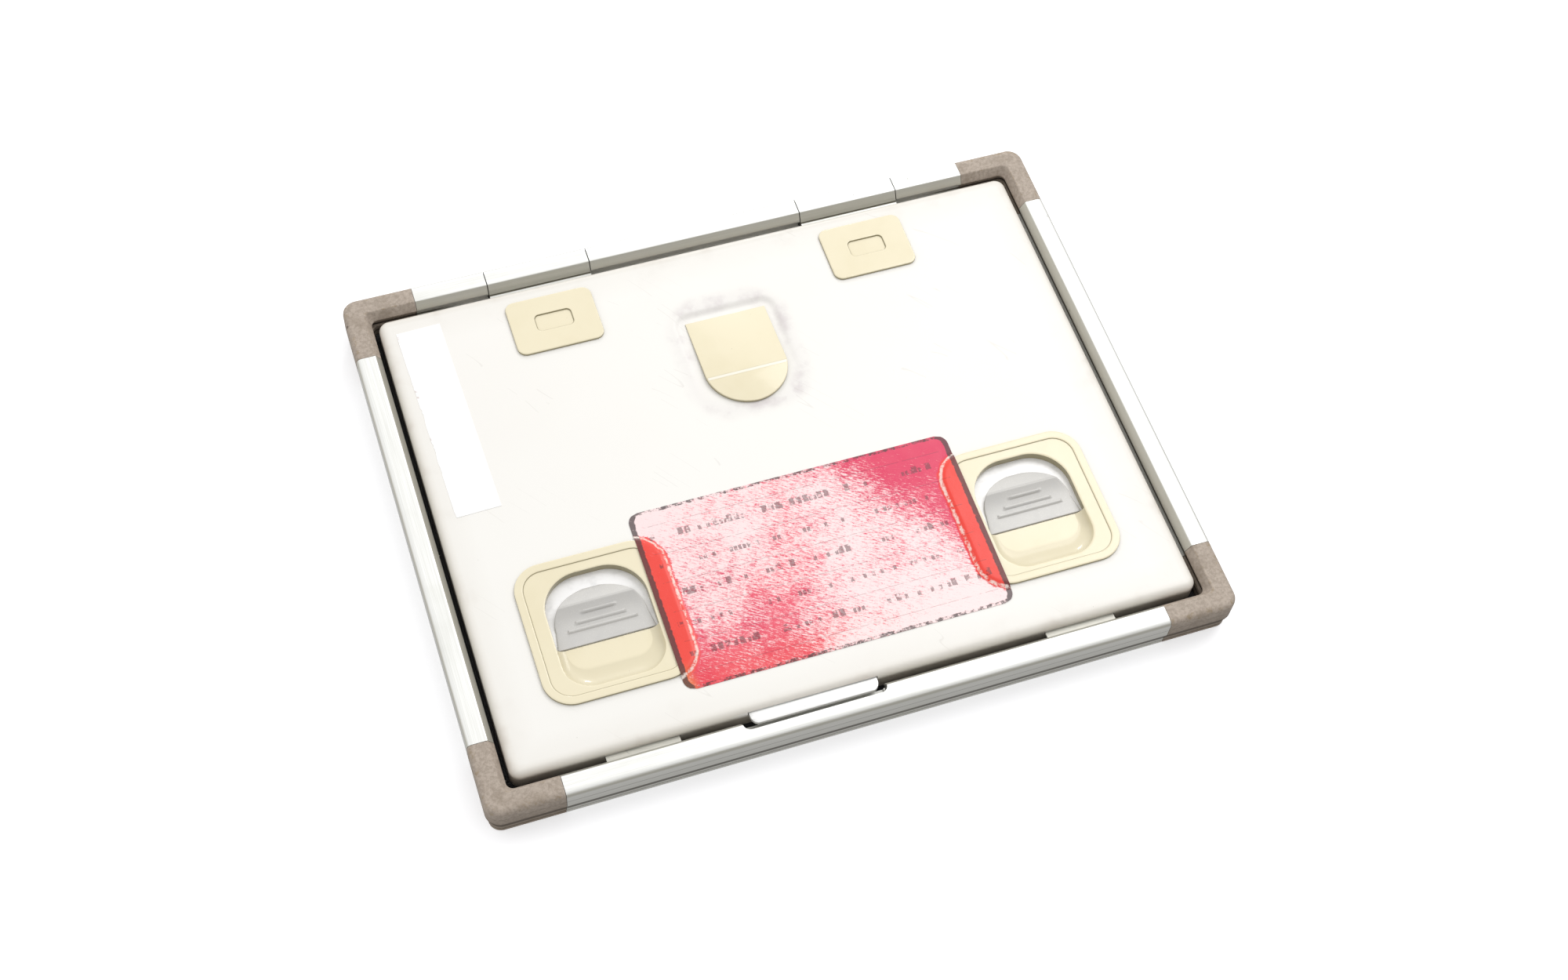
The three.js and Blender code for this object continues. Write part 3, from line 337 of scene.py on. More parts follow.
def make_piece(name, points, faces, finish, body=None, stands_for=(), slot=None, edges=None):
    """A piece from points in millimetres, with its finish, its body and the nodes it stands for."""
    mesh = bpy.data.meshes.new(name)
    mesh.from_pydata([tuple(v * MM for v in point) for point in points], [], faces)
    if edges:
        layer = mesh.attributes.new("edge", "FLOAT", "POINT")
        layer.data.foreach_set("value", edges)
    shape = bmesh.new()
    shape.from_mesh(mesh)
    weld(shape)
    bmesh.ops.recalc_face_normals(shape, faces=shape.faces)
    shape.to_mesh(mesh)
    shape.free()
    mesh.materials.append(finish)
    piece = bpy.data.objects.new(name, mesh)
    bpy.context.scene.collection.objects.link(piece)
    soften(piece)
    if body:
        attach(piece, body)
    if stands_for:
        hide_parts(*stands_for)
    return piece


def settle(piece):
    """Replaces a piece's mesh by what its modifiers make of it, closes it and softens it again."""
    graph = bpy.context.evaluated_depsgraph_get()
    final = bpy.data.meshes.new_from_object(piece.evaluated_get(graph))
    piece.modifiers.clear()
    piece.data = final
    shape = bmesh.new()
    shape.from_mesh(final)
    weld(shape)
    bmesh.ops.holes_fill(shape, edges=[edge for edge in shape.edges if edge.is_boundary])
    shape.to_mesh(final)
    shape.free()
    soften(piece)


def cut(piece, solids, operation="DIFFERENCE"):
    """Cuts a piece with solids, each (points, faces) in millimetres, or joins them to it."""
    tools = []
    for k, (points, faces) in enumerate(solids):
        tool = make_piece(f"tool_{k}", points, faces, piece.data.materials[0])
        modifier = piece.modifiers.new(tool.name, "BOOLEAN")
        modifier.operation = operation
        modifier.solver = "EXACT"
        modifier.object = tool
        tools.append(tool)
    bpy.context.view_layer.update()
    settle(piece)
    for tool in tools:
        bpy.data.objects.remove(tool)


print("pieces are welded at", WELD, "mm")

# %% [markdown]
# ## Building finishes from nodes
#
# Real surfaces vary: extruded metal has fine lines, paint has specks and scratches, mouldings have
# a grain, and edges wear first. Each of these effects is a node group, built once with named
# inputs, so that every finish below can use it with its own values. The shader itself stays in the
# material. A tiny class adds nodes and wires them, which keeps each recipe to a few lines.

# %% A short way to write node trees
class Net:
    """Adds nodes to a node tree. A value is a number, a colour, a vector or another socket."""

    def __init__(self, tree):
        self.tree = tree

    def node(self, kind, values=(), **settings):
        made = self.tree.nodes.new(kind)
        for name, value in settings.items():
            setattr(made, name, value)
        for name, value in dict(values).items():
            socket = made.inputs[name]
            if isinstance(value, bpy.types.NodeSocket):
                self.tree.links.new(value, socket)
            else:
                socket.default_value = value
        return made

    def math(self, operation, a, b=0.0, c=0.0):
        values = {0: a, 1: b, 2: c}
        return self.node("ShaderNodeMath", values, operation=operation).outputs[0]

    def plus(self, a, b):
        return self.math("ADD", a, b)

    def minus(self, a, b):
        return self.math("SUBTRACT", a, b)

    def times(self, a, b):
        return self.math("MULTIPLY", a, b)

    def over(self, a, b):
        return self.math("DIVIDE", a, b)

    def larger(self, a, b):
        return self.math("MAXIMUM", a, b)

    def smaller(self, a, b):
        return self.math("MINIMUM", a, b)

    def above(self, a, b):
        return self.math("GREATER_THAN", a, b)

    def below(self, a, b):
        return self.math("LESS_THAN", a, b)

    def absolute(self, a):
        return self.math("ABSOLUTE", a)

    def fraction(self, a):
        return self.math("FRACT", a)

    def split(self, vector):
        """The X, Y and Z of a vector."""
        return self.node("ShaderNodeSeparateXYZ", {"Vector": vector}).outputs

    def stored_edge(self):
        """The edge value that make_piece stores in a mesh: above 0 where it wears or where light is
        painted, below 0 where shade is painted.
        """
        return self.node("ShaderNodeAttribute", attribute_name="edge").outputs["Fac"]

    def vector(self, operation, a, b=(0, 0, 0)):
        return self.node("ShaderNodeVectorMath", {0: a, 1: b}, operation=operation).outputs[0]

    def ramp(self, value, low, high, start=0.0, end=1.0):
        """A smooth step of value from start to end, between low and high."""
        values = {0: value, 1: low, 2: high, 3: start, 4: end}
        made = self.node("ShaderNodeMapRange", values, interpolation_type="SMOOTHSTEP")
        return made.outputs["Result"]

    def noise(self, vector, scale, detail=2.0, roughness=0.5):
        values = {"Vector": vector, "Scale": scale, "Detail": detail, "Roughness": roughness}
        return self.node("ShaderNodeTexNoise", values).outputs[0]

    def mix(self, mask, a, b):
        """Colour a where mask is 0 and b where it is 1."""
        made = self.node("ShaderNodeMix", data_type="RGBA")
        for socket, value in ((made.inputs[0], mask), (made.inputs[6], a), (made.inputs[7], b)):
            if isinstance(value, bpy.types.NodeSocket):
                self.tree.links.new(value, socket)
            else:
                socket.default_value = value
        return made.outputs[2]

    def tint(self, base, mask, strength, tone):
        """Mixes a screen colour into base where mask is 1, but never more than strength."""
        return self.mix(self.times(mask, strength), base, colour(*tone))

    def bump(self, height, strength, distance):
        values = {"Height": height, "Strength": strength, "Distance": distance * MM}
        return self.node("ShaderNodeBump", values).outputs["Normal"]

    def use(self, group, **values):
        made = self.node("ShaderNodeGroup", node_tree=group)
        for name, value in values.items():
            if isinstance(value, bpy.types.NodeSocket):
                self.tree.links.new(value, made.inputs[name])
            else:
                made.inputs[name].default_value = value
        return made.outputs


print("node helpers:", [name for name in vars(Net) if not name.startswith("_")])

# %% [markdown]
# Groups and materials start from the same few steps. Colours are given as they look on a screen
# and turned into the linear light that shaders work with.

# %% Groups, colours and finishes
def new_group(name, inputs, outputs):
    """An empty shader node group. Returns its net, its inputs and a function that sets an output."""
    tree = bpy.data.node_groups.new(name, "ShaderNodeTree")
    for label, kind in inputs.items():
        tree.interface.new_socket(label, in_out="INPUT", socket_type="NodeSocket" + kind)
    for label, kind in outputs.items():
        tree.interface.new_socket(label, in_out="OUTPUT", socket_type="NodeSocket" + kind)
    entry = tree.nodes.new("NodeGroupInput")
    leave = tree.nodes.new("NodeGroupOutput")

    def put(label, socket):
        tree.links.new(socket, leave.inputs[label])

    return tree, Net(tree), entry.outputs, put


def colour(red, green, blue):
    """A colour as it looks on a screen, 0 to 255, turned into the linear light that shaders use."""
    def linear(value):
        share = value / 255
        return share / 12.92 if share <= 0.04045 else ((share + 0.055) / 1.055) ** 2.4

    return (linear(red), linear(green), linear(blue), 1.0)


def new_finish(name, **sockets):
    """A material with a Principled shader, whose plain values are set on its own sockets."""
    made = bpy.data.materials.new(name)
    made.use_nodes = True
    net = Net(made.node_tree)
    shader = made.node_tree.nodes["Principled BSDF"]
    for label, value in sockets.items():
        shader.inputs[label.replace("_", " ")].default_value = value
    place = net.node("ShaderNodeTexCoord").outputs["Object"]

    def put(label, socket):
        made.node_tree.links.new(socket, shader.inputs[label])

    return made, net, place, put


print("middle grey:", [round(v, 3) for v in colour(128, 128, 128)])

# %% [markdown]
# ## Groups that several finishes share
#
# The texture coordinates are the object's own, in metres, so a scale of 1000 repeats about every
# millimetre. Lines come from noise that is stretched along one axis. Specks come from Voronoi
# cells, of which only a share is kept. Worn edges combine the edge value stored in the mesh with
# noise, so that the wear breaks up instead of following every corner evenly.

# %% Shared groups
blotches, net, given, put = new_group(
    "blotches",
    {"Vector": "Vector", "Scale": "Float", "Low": "Float", "High": "Float"},
    {"Mask": "Float"},
)
cloud = net.noise(given["Vector"], given["Scale"], detail=3.0, roughness=0.6)
put("Mask", net.ramp(cloud, given["Low"], given["High"]))

fine_lines, net, given, put = new_group(
    "fine_lines", {"Vector": "Vector", "Stretch": "Vector"}, {"Lines": "Float"}
)
stretched = net.vector("MULTIPLY", given["Vector"], given["Stretch"])
put("Lines", net.noise(stretched, 1.0, detail=3.0, roughness=0.65))

specks, net, given, put = new_group(
    "specks",
    {"Vector": "Vector", "Scale": "Float", "Share": "Float", "Size": "Float"},
    {"Mask": "Float"},
)
wobble = net.noise(given["Vector"], net.times(given["Scale"], 2.5))
cells = net.node(
    "ShaderNodeTexVoronoi", {"Vector": given["Vector"], "Scale": given["Scale"]}
).outputs
chance = net.node("ShaderNodeSeparateColor", {"Color": cells["Color"]}).outputs[0]
kept = net.above(chance, net.minus(1.0, given["Share"]))
uneven = net.plus(cells["Distance"], net.times(wobble, 0.15))
dot = net.ramp(uneven, given["Size"], net.plus(given["Size"], 0.06), 1.0, 0.0)
put("Mask", net.times(dot, kept))

scratches, net, given, put = new_group(
    "scratches",
    {"Vector": "Vector", "Stretch": "Vector", "Turn": "Float", "Share": "Float"},
    {"Mask": "Float"},
)
rotated = net.node(
    "ShaderNodeVectorRotate",
    {"Vector": given["Vector"], "Angle": given["Turn"]},
    rotation_type="Z_AXIS",
).outputs[0]
path = net.noise(net.vector("MULTIPLY", rotated, given["Stretch"]), 1.0, detail=1.0)
line = net.ramp(net.absolute(net.minus(path, 0.5)), 0.0, 0.006, 1.0, 0.0)
where = net.noise(rotated, 55.0, detail=1.0)
allowed = net.above(where, net.minus(1.0, given["Share"]))
put("Mask", net.times(line, allowed))

worn_edges, net, given, put = new_group(
    "worn_edges",
    {"Vector": "Vector", "Edge": "Float", "Scale": "Float", "Amount": "Float"},
    {"Mask": "Float"},
)
rough_cloud = net.noise(given["Vector"], given["Scale"], detail=5.0, roughness=0.7)
pushed = net.plus(given["Edge"], net.times(rough_cloud, 1.4))
start = net.minus(2.2, given["Amount"])
put("Mask", net.ramp(pushed, start, net.plus(start, 0.25)))

moulded_grain, net, given, put = new_group(
    "moulded_grain",
    {"Vector": "Vector", "Scale": "Float"},
    {"Height": "Float", "Shade": "Float"},
)
coarse = net.noise(given["Vector"], given["Scale"], detail=4.0, roughness=0.7)
fine = net.noise(given["Vector"], net.times(given["Scale"], 4.0), detail=2.0)
put("Height", net.plus(coarse, net.times(fine, 0.5)))
put("Shade", net.ramp(coarse, 0.35, 0.65))

# The distance to a rounded rectangle places borders, creases and smudges.
rect_edge, net, given, put = new_group(
    "rect_edge",
    {"Vector": "Vector", "Middle": "Vector", "Half": "Vector", "Radius": "Float"},
    {"Distance": "Float"},
)
local = net.vector("ABSOLUTE", net.vector("SUBTRACT", given["Vector"], given["Middle"]))
core = net.vector("SUBTRACT", local, given["Half"])
u, v = net.split(core)[:2]
u, v = net.plus(u, given["Radius"]), net.plus(v, given["Radius"])
out_u, out_v = net.larger(u, 0.0), net.larger(v, 0.0)
squares = net.plus(net.math("POWER", out_u, 2.0), net.math("POWER", out_v, 2.0))
outer = net.math("SQRT", squares)
inner = net.smaller(net.larger(u, v), 0.0)
put("Distance", net.minus(net.plus(outer, inner), given["Radius"]))
print("groups:", [group.name for group in bpy.data.node_groups])

# %% [markdown]
# ## Metal finishes
#
# The rails are extruded and anodised: satin, nearly white from above, with fine lines along their
# length. An anisotropic shader would also stretch the highlight, but the lines alone give the
# brushed look and stay the same from every side. The rails run two ways, so one recipe makes the
# finish for each direction.

# %% Metals
# Height, half width and strength of the dark lines of painted shade that run along the outer faces.
PAINTED_SHADE_LINES = ((6.8, 0.25, 1.0), (3.7, 0.4, 0.9), (10.8, 0.08, 0.4))
LINE_FADE = 0.3


def painted_shade_lines(net, height):
    """Mask of the painted shade lines for a height over the table."""
    mask = 0.0
    for level, half, strength in PAINTED_SHADE_LINES:
        apart = net.absolute(net.minus(height, level * MM))
        line = net.ramp(apart, half * MM, (half + LINE_FADE) * MM, strength, 0.0)
        mask = net.larger(mask, line)
    return mask


def anodised_finish(name, stretch, axis):
    """Satin anodised extrusion with lines along the axis in which stretch is small."""
    made, net, place, put = new_finish(name, Metallic=0.55)
    edge = net.stored_edge()
    lines = net.use(fine_lines, Vector=place, Stretch=stretch)["Lines"]
    dirt = net.use(blotches, Vector=place, Scale=38.0, Low=0.52, High=0.72)["Mask"]
    nicks = net.use(specks, Vector=place, Scale=260.0, Share=0.035, Size=0.13)["Mask"]
    height = net.split(place)["Z"]
    satin = net.mix(net.ramp(lines, 0.3, 0.7), colour(236, 236, 231), colour(251, 251, 248))
    normal = net.split(net.node("ShaderNodeNewGeometry").outputs["Normal"])
    # Painted shade: the faces darken towards the table, as contact shade low on the sides.
    satin = net.mix(net.ramp(height, 4 * MM, 15.4 * MM, 0.3, 0.0), satin, colour(176, 172, 160))
    # Painted shade and reflection: faces that lean away from up, such as the inner flanks, are tinted a
    # darker greenish grey.
    painted_flank_shade = net.ramp(normal["Z"], 0.9, 0.55, 0.0, 0.58)
    painted_flank_shade = net.times(painted_flank_shade, net.ramp(normal["Z"], 0.05, 0.4, 0.35, 1.0))
    satin = net.mix(painted_flank_shade, satin, colour(156, 150, 128))
    satin = net.tint(satin, painted_shade_lines(net, height), 0.9, (80, 74, 62))
    # Painted shade: faces across the rail, at its ends and on the walls of its notches, are painted dark
    # like the shade in those seams and notches.
    cut_face = net.ramp(net.absolute(normal[axis]), 0.7, 0.95, 0.0, 0.8)
    satin = net.mix(cut_face, satin, colour(84, 80, 74))
    # Painted shade: inside arcs, where the stored edge value is negative, are darkened like shade in the
    # grooves.
    satin = net.mix(net.ramp(edge, -0.3, -0.9), satin, colour(92, 88, 76))
    satin = net.tint(satin, dirt, 0.16, (190, 190, 172))
    satin = net.tint(satin, nicks, 0.55, (120, 116, 106))
    worn = net.use(worn_edges, Vector=place, Edge=edge, Scale=300.0, Amount=0.28)["Mask"]
    put("Base Color", net.tint(satin, worn, 0.5, (246, 246, 244)))
    put("Roughness", net.ramp(lines, 0.2, 0.8, 0.3, 0.46))
    put("Normal", net.bump(lines, 0.25, 0.03))
    return made


ALONG_X = (30.0, 4200.0, 4200.0)
ALONG_Y = (4200.0, 30.0, 4200.0)
anodised_x = anodised_finish("anodised_along_x", ALONG_X, "X")
anodised_y = anodised_finish("anodised_along_y", ALONG_Y, "Y")


def sheet_finish(name, tint, roughness, metallic):
    """Rolled sheet or drawn wire: faint rolling lines, a few scratches, an even sheen."""
    made, net, place, put = new_finish(name, Metallic=metallic)
    lines = net.use(fine_lines, Vector=place, Stretch=(60.0, 2600.0, 2600.0))["Lines"]
    rubs = net.use(scratches, Vector=place, Stretch=(30.0, 260.0, 30.0), Turn=0.4, Share=0.55)["Mask"]
    darker = tuple(channel * 0.8 for channel in tint[:3]) + (1.0,)
    shade = net.mix(net.ramp(lines, 0.3, 0.7), darker, tint)
    put("Base Color", net.tint(shade, rubs, 0.35, (150, 148, 142)))
    put("Roughness", net.ramp(lines, 0.2, 0.8, roughness, roughness + 0.14))
    put("Normal", net.bump(lines, 0.2, 0.02))
    return made


bright_sheet = sheet_finish("bright_sheet", colour(253, 253, 251), 0.34, 0.5)
steel = sheet_finish("steel", colour(226, 224, 214), 0.42, 0.5)
lead = sheet_finish("lead", colour(96, 98, 102), 0.5, 0.6)
print("metals:", [made.name for made in (anodised_x, anodised_y, bright_sheet, steel, lead)])

# %% [markdown]
# ## Lid paint
#
# The lid is stoved in a warm white. The mesh stores how close each point is to the rim, and that value
# carries a painted shade that warms and darkens the paint over the rounded edge; the flange below it
# is painted darker still, as shade in the gap, and a painted shade runs round the centre piece's hollow.
# Small brown and grey specks, a few hairline scratches and a very slight orange peel do the rest.

# %% Lid paint
# The rounded rectangle round the hollow along which shade is painted, broken up like smudges, and how
# far it reaches.
HOLLOW_MIDDLE = (0, 45 * MM, 0)
HOLLOW_HALF = (20 * MM, 24 * MM, 0)
HOLLOW_RADIUS = 12 * MM
HOLLOW_SHADE_REACH = 6 * MM

lid_paint, net, place, put = new_finish("lid_paint", Coat_Weight=0.12, Coat_Roughness=0.2)
rim = net.stored_edge()
drift = net.use(blotches, Vector=place, Scale=9.0, Low=0.35, High=0.75)["Mask"]
grime = net.use(blotches, Vector=place, Scale=70.0, Low=0.5, High=0.8)["Mask"]
dark_specks = net.use(specks, Vector=place, Scale=210.0, Share=0.05, Size=0.07)["Mask"]
brown_specks = net.use(specks, Vector=place, Scale=75.0, Share=0.05, Size=0.045)["Mask"]
hairs = net.use(scratches, Vector=place, Stretch=(9.0, 120.0, 9.0), Turn=0.9, Share=0.4)["Mask"]
peel = net.use(moulded_grain, Vector=place, Scale=520.0)
paint = net.mix(net.times(drift, 0.4), colour(243, 241, 236), colour(239, 235, 229))
# Painted shade: warmer and darker towards the rim, over the rounded edge.
paint = net.tint(paint, rim, 0.45, (205, 196, 180))
height = net.split(place)["Z"]
# Painted shade: the flange below the rounded edge is darkened, as shade in the gap between lid and rail.
paint = net.mix(net.ramp(height, 11 * MM, 13.5 * MM, 0.7, 0.0), paint, colour(118, 108, 94))
paint = net.tint(paint, net.times(grime, rim), 0.5, (196, 184, 172))
round_hollow = net.use(
    rect_edge, Vector=net.vector("MULTIPLY", place, (1, 1, 0)),
    Middle=HOLLOW_MIDDLE, Half=HOLLOW_HALF, Radius=HOLLOW_RADIUS,
)["Distance"]
# Painted shade in a band along the hollow's outline, broken up with smudgy noise.
near_hollow_edge = net.ramp(net.absolute(round_hollow), 0.0, HOLLOW_SHADE_REACH, 1.0, 0.0)
smudged_hollow_shade = net.use(blotches, Vector=place, Scale=110.0, Low=0.42, High=0.7)["Mask"]
smudged_hollow_shade = net.times(net.plus(net.times(smudged_hollow_shade, 0.5), 0.16), near_hollow_edge)
paint = net.mix(smudged_hollow_shade, paint, colour(206, 197, 198))
paint = net.tint(paint, dark_specks, 0.5, (140, 130, 124))
paint = net.tint(paint, brown_specks, 0.6, (150, 120, 96))
paint = net.tint(paint, hairs, 0.16, (176, 168, 160))
put("Base Color", paint)
put("Roughness", net.ramp(peel["Height"], 0.3, 1.1, 0.38, 0.5))
put("Normal", net.bump(peel["Height"], 0.18, 0.04))
print("paint:", lid_paint.name)

# %% [markdown]
# ## Mouldings
#
# Three plastics are used: taupe corners with a coarse matt grain, ivory covers and bezels with a
# semi-gloss skin, and silver-grey sliders with tiny metallic flakes. The corners take the knocks
# of daily use, so their edges are rubbed to a yellowish brown and carry dark scuffs.

# %% Plastics
taupe_plastic, net, place, put = new_finish("taupe_plastic", Specular_IOR_Level=0.35)
edge = net.stored_edge()
grain = net.use(moulded_grain, Vector=place, Scale=900.0)
stains = net.use(blotches, Vector=place, Scale=120.0, Low=0.48, High=0.75)["Mask"]
scuffs = net.use(specks, Vector=place, Scale=170.0, Share=0.14, Size=0.16)["Mask"]
worn = net.use(worn_edges, Vector=place, Edge=edge, Scale=420.0, Amount=0.5)["Mask"]
skin = net.mix(grain["Shade"], colour(160, 147, 134), colour(184, 171, 158))
skin = net.tint(skin, stains, 0.45, (138, 124, 108))
skin = net.tint(skin, worn, 0.6, (146, 126, 94))
height = net.split(place)["Z"]
# Painted shade: darker towards the table, dark lines along the faces and dark inside arcs.
skin = net.mix(net.ramp(height, 4 * MM, 14 * MM, 0.5, 0.0), skin, colour(112, 98, 82))
skin = net.tint(skin, painted_shade_lines(net, height), 0.75, (66, 56, 44))
skin = net.mix(net.ramp(edge, -0.3, -0.9), skin, colour(62, 54, 46))
put("Base Color", net.tint(skin, scuffs, 0.7, (88, 76, 66)))
put("Roughness", net.ramp(grain["Height"], 0.3, 1.1, 0.5, 0.72))
put("Normal", net.bump(grain["Height"], 0.35, 0.08))

ivory_plastic, net, place, put = new_finish("ivory_plastic", Coat_Weight=0.5, Coat_Roughness=0.1)
edge = net.stored_edge()
grain = net.use(moulded_grain, Vector=place, Scale=1400.0)
ageing = net.use(blotches, Vector=place, Scale=45.0, Low=0.4, High=0.8)["Mask"]
dust = net.use(specks, Vector=place, Scale=420.0, Share=0.06, Size=0.1)["Mask"]
worn = net.use(worn_edges, Vector=place, Edge=edge, Scale=420.0, Amount=0.5)["Mask"]
skin = net.mix(net.times(ageing, 0.6), colour(236, 226, 196), colour(228, 217, 183))
# Painted shade: side walls and steps with negative edge values are painted dark olive.
skin = net.mix(net.ramp(edge, -0.1, -0.9, 0.0, 0.85), skin, colour(122, 112, 72))
skin = net.tint(skin, worn, 0.4, (196, 184, 146))
# Painted highlight: edge values above 1, along the centre piece's crease, are painted nearly white.
skin = net.mix(net.ramp(edge, 1.2, 2.0, 0.0, 0.75), skin, colour(253, 250, 240))
put("Base Color", net.tint(skin, dust, 0.45, (150, 138, 108)))
put("Roughness", net.ramp(grain["Height"], 0.3, 1.1, 0.28, 0.4))
put("Normal", net.bump(grain["Height"], 0.12, 0.03))

grey_plastic, net, place, put = new_finish("grey_plastic", Metallic=0.15)
flakes = net.use(specks, Vector=place, Scale=3200.0, Share=0.4, Size=0.35)["Mask"]
rubbing = net.use(blotches, Vector=place, Scale=160.0, Low=0.45, High=0.7)["Mask"]
edge = net.stored_edge()
skin = net.mix(net.times(flakes, 0.6), colour(202, 200, 196), colour(222, 220, 217))
# Painted highlight: where the edge value is positive, on the slider's plate, it is painted nearly white.
skin = net.mix(net.ramp(edge, 0.0, 1.0, 0.0, 0.95), skin, colour(254, 253, 252))
# Painted shade: where the edge value is negative, in front of the grip's ridge, it is painted darker
# grey.
skin = net.mix(net.ramp(edge, 0.0, -1.0, 0.0, 0.22), skin, colour(150, 147, 142))
put("Base Color", net.tint(skin, rubbing, 0.25, (188, 187, 186)))
put("Roughness", net.ramp(flakes, 0.0, 1.0, 0.42, 0.3))
put("Normal", net.bump(net.noise(place, 2400.0), 0.12, 0.03))
print("plastics:", [made.name for made in (taupe_plastic, ivory_plastic, grey_plastic)])

# %% [markdown]
# ## Inside finishes
#
# Black felt seals the joint against light, dark foam presses the film flat, and the two screens
# are smooth phosphor sheets. Felt and foam scatter light between fibres and cells, so they get a
# strong fine bump and a little sheen instead of a clear highlight.

# %% Felt, foam and screens
black_felt, net, place, put = new_finish("black_felt", Roughness=0.95, Sheen_Weight=0.25)
fibres = net.noise(place, 5200.0, detail=3.0, roughness=0.75)
lint = net.use(specks, Vector=place, Scale=500.0, Share=0.04, Size=0.12)["Mask"]
pile = net.mix(net.ramp(fibres, 0.3, 0.7), colour(16, 16, 18), colour(44, 43, 45))
put("Base Color", net.tint(pile, lint, 0.5, (120, 118, 114)))
put("Normal", net.bump(fibres, 0.9, 0.25))

foam, net, place, put = new_finish("foam", Roughness=0.9, Sheen_Weight=0.1)
bubbles = net.node("ShaderNodeTexVoronoi", {"Vector": place, "Scale": 2300.0}).outputs["Distance"]
put("Base Color", net.mix(net.ramp(bubbles, 0.1, 0.7), colour(28, 28, 31), colour(62, 62, 66)))
put("Normal", net.bump(bubbles, 0.8, 0.3))

screen_white, net, place, put = new_finish("screen_white", Coat_Weight=0.2, Coat_Roughness=0.25)
edge = net.stored_edge()
tone = net.use(blotches, Vector=place, Scale=14.0, Low=0.35, High=0.75)["Mask"]
rubs = net.use(scratches, Vector=place, Stretch=(12.0, 200.0, 12.0), Turn=0.2, Share=0.5)["Mask"]
phosphor = net.mix(net.times(tone, 0.5), colour(238, 239, 230), colour(230, 229, 214))
phosphor = net.tint(phosphor, edge, 0.4, (206, 200, 172))
put("Base Color", net.tint(phosphor, rubs, 0.25, (198, 196, 184)))
put("Roughness", net.ramp(tone, 0.0, 1.0, 0.38, 0.46))
put("Normal", net.bump(net.noise(place, 1800.0), 0.08, 0.02))
print("inside finishes:", black_felt.name, foam.name, screen_white.name)

# %% [markdown]
# ## Stage and light
#
# The cassette lies on a white table under a large soft light at its right and a little behind, so
# the shadow is pale and falls towards the front. The sky is dimmer towards the front, which keeps
# some shape in the white parts. A second, small and weak lamp stands low behind the cassette and
# leaves bright spots on glossy edges that lean back towards it. The table is seen by the camera
# only and is clear from below, so the underside can be looked at too.

# %% Stage
FLOOR_HALF = 3000
SKY_BRIGHT = 0.95
SKY_DIM = 0.45
SKY_LEAN = 0.7
SKY_TURN = 0.6
SKY_FROM, SKY_TO = -0.7, 1.1
TABLE_GLOW = 0.42
TABLE_DROP = 0.1
LAMPS = (
    ("soft_light", 6.4, 0.8, Vector((0.8, 0.45, 1.05))),
    ("glint_light", 2.0, 0.15, Vector((0.3, 1.2, 0.6))),
)

scene = bpy.context.scene
scene.view_settings.view_transform = "Standard"
scene.world = bpy.data.worlds.new("sky")
scene.world.use_nodes = True
net = Net(scene.world.node_tree)
background = scene.world.node_tree.nodes["Background"]
direction = net.node(
    "ShaderNodeSeparateXYZ", {"Vector": net.node("ShaderNodeTexCoord").outputs["Generated"]}
).outputs
back_left = net.minus(direction["Y"], net.times(direction["X"], SKY_TURN))
towards_back = net.plus(direction["Z"], net.times(back_left, SKY_LEAN))
level = net.ramp(towards_back, SKY_FROM, SKY_TO, SKY_DIM, SKY_BRIGHT)
scene.world.node_tree.links.new(level, background.inputs["Color"])

lamps = []
for name, power, size, spot in LAMPS:
    lamp_data = bpy.data.lights.new(name, "AREA")
    lamp_data.energy = power
    lamp_data.size = size
    lamp = bpy.data.objects.new(name, lamp_data)
    lamp.location = spot
    lamp.rotation_euler = (-spot).to_track_quat("-Z", "Y").to_euler()
    scene.collection.objects.link(lamp)
    lamps.append(lamp)

table_finish, net, place, put = new_finish("table", Roughness=1.0, Specular_IOR_Level=0.0)
shader = table_finish.node_tree.nodes["Principled BSDF"]
shader.inputs["Base Color"].default_value = colour(238, 238, 240)
shader.inputs["Emission Color"].default_value = (1, 1, 1, 1)
shader.inputs["Emission Strength"].default_value = TABLE_GLOW
clear = net.node("ShaderNodeBsdfTransparent").outputs[0]
below = net.node("ShaderNodeNewGeometry").outputs["Backfacing"]
both = net.node("ShaderNodeMixShader", {0: below, 1: shader.outputs[0], 2: clear}).outputs[0]
table_output = table_finish.node_tree.nodes["Material Output"]
table_finish.node_tree.links.new(both, table_output.inputs["Surface"])
corners = [(-FLOOR_HALF, -FLOOR_HALF), (FLOOR_HALF, -FLOOR_HALF)]
corners += [(FLOOR_HALF, FLOOR_HALF), (-FLOOR_HALF, FLOOR_HALF)]
corners = [(x, y, -TABLE_DROP) for x, y in corners]
table = make_piece("table", corners, [(0, 1, 2, 3)], table_finish)
table.visible_diffuse = False
table.visible_glossy = False
table.visible_transmission = False
table.visible_shadow = False
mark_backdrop(table, *lamps)
print("stage set, lamps", [round(lamp.location.length, 2) for lamp in lamps], "m away")

# %% [markdown]
# ## Rails
#
# All four rails are cut from one aluminium extrusion: a hollow section with a lip for the front
# panel, a slot that holds it, an undercut for the bolts and two grooves in the outer face. The
# section is drawn once as corners with radii, because an extrusion die has no sharp corners
# either, and then run along the length of each rail.

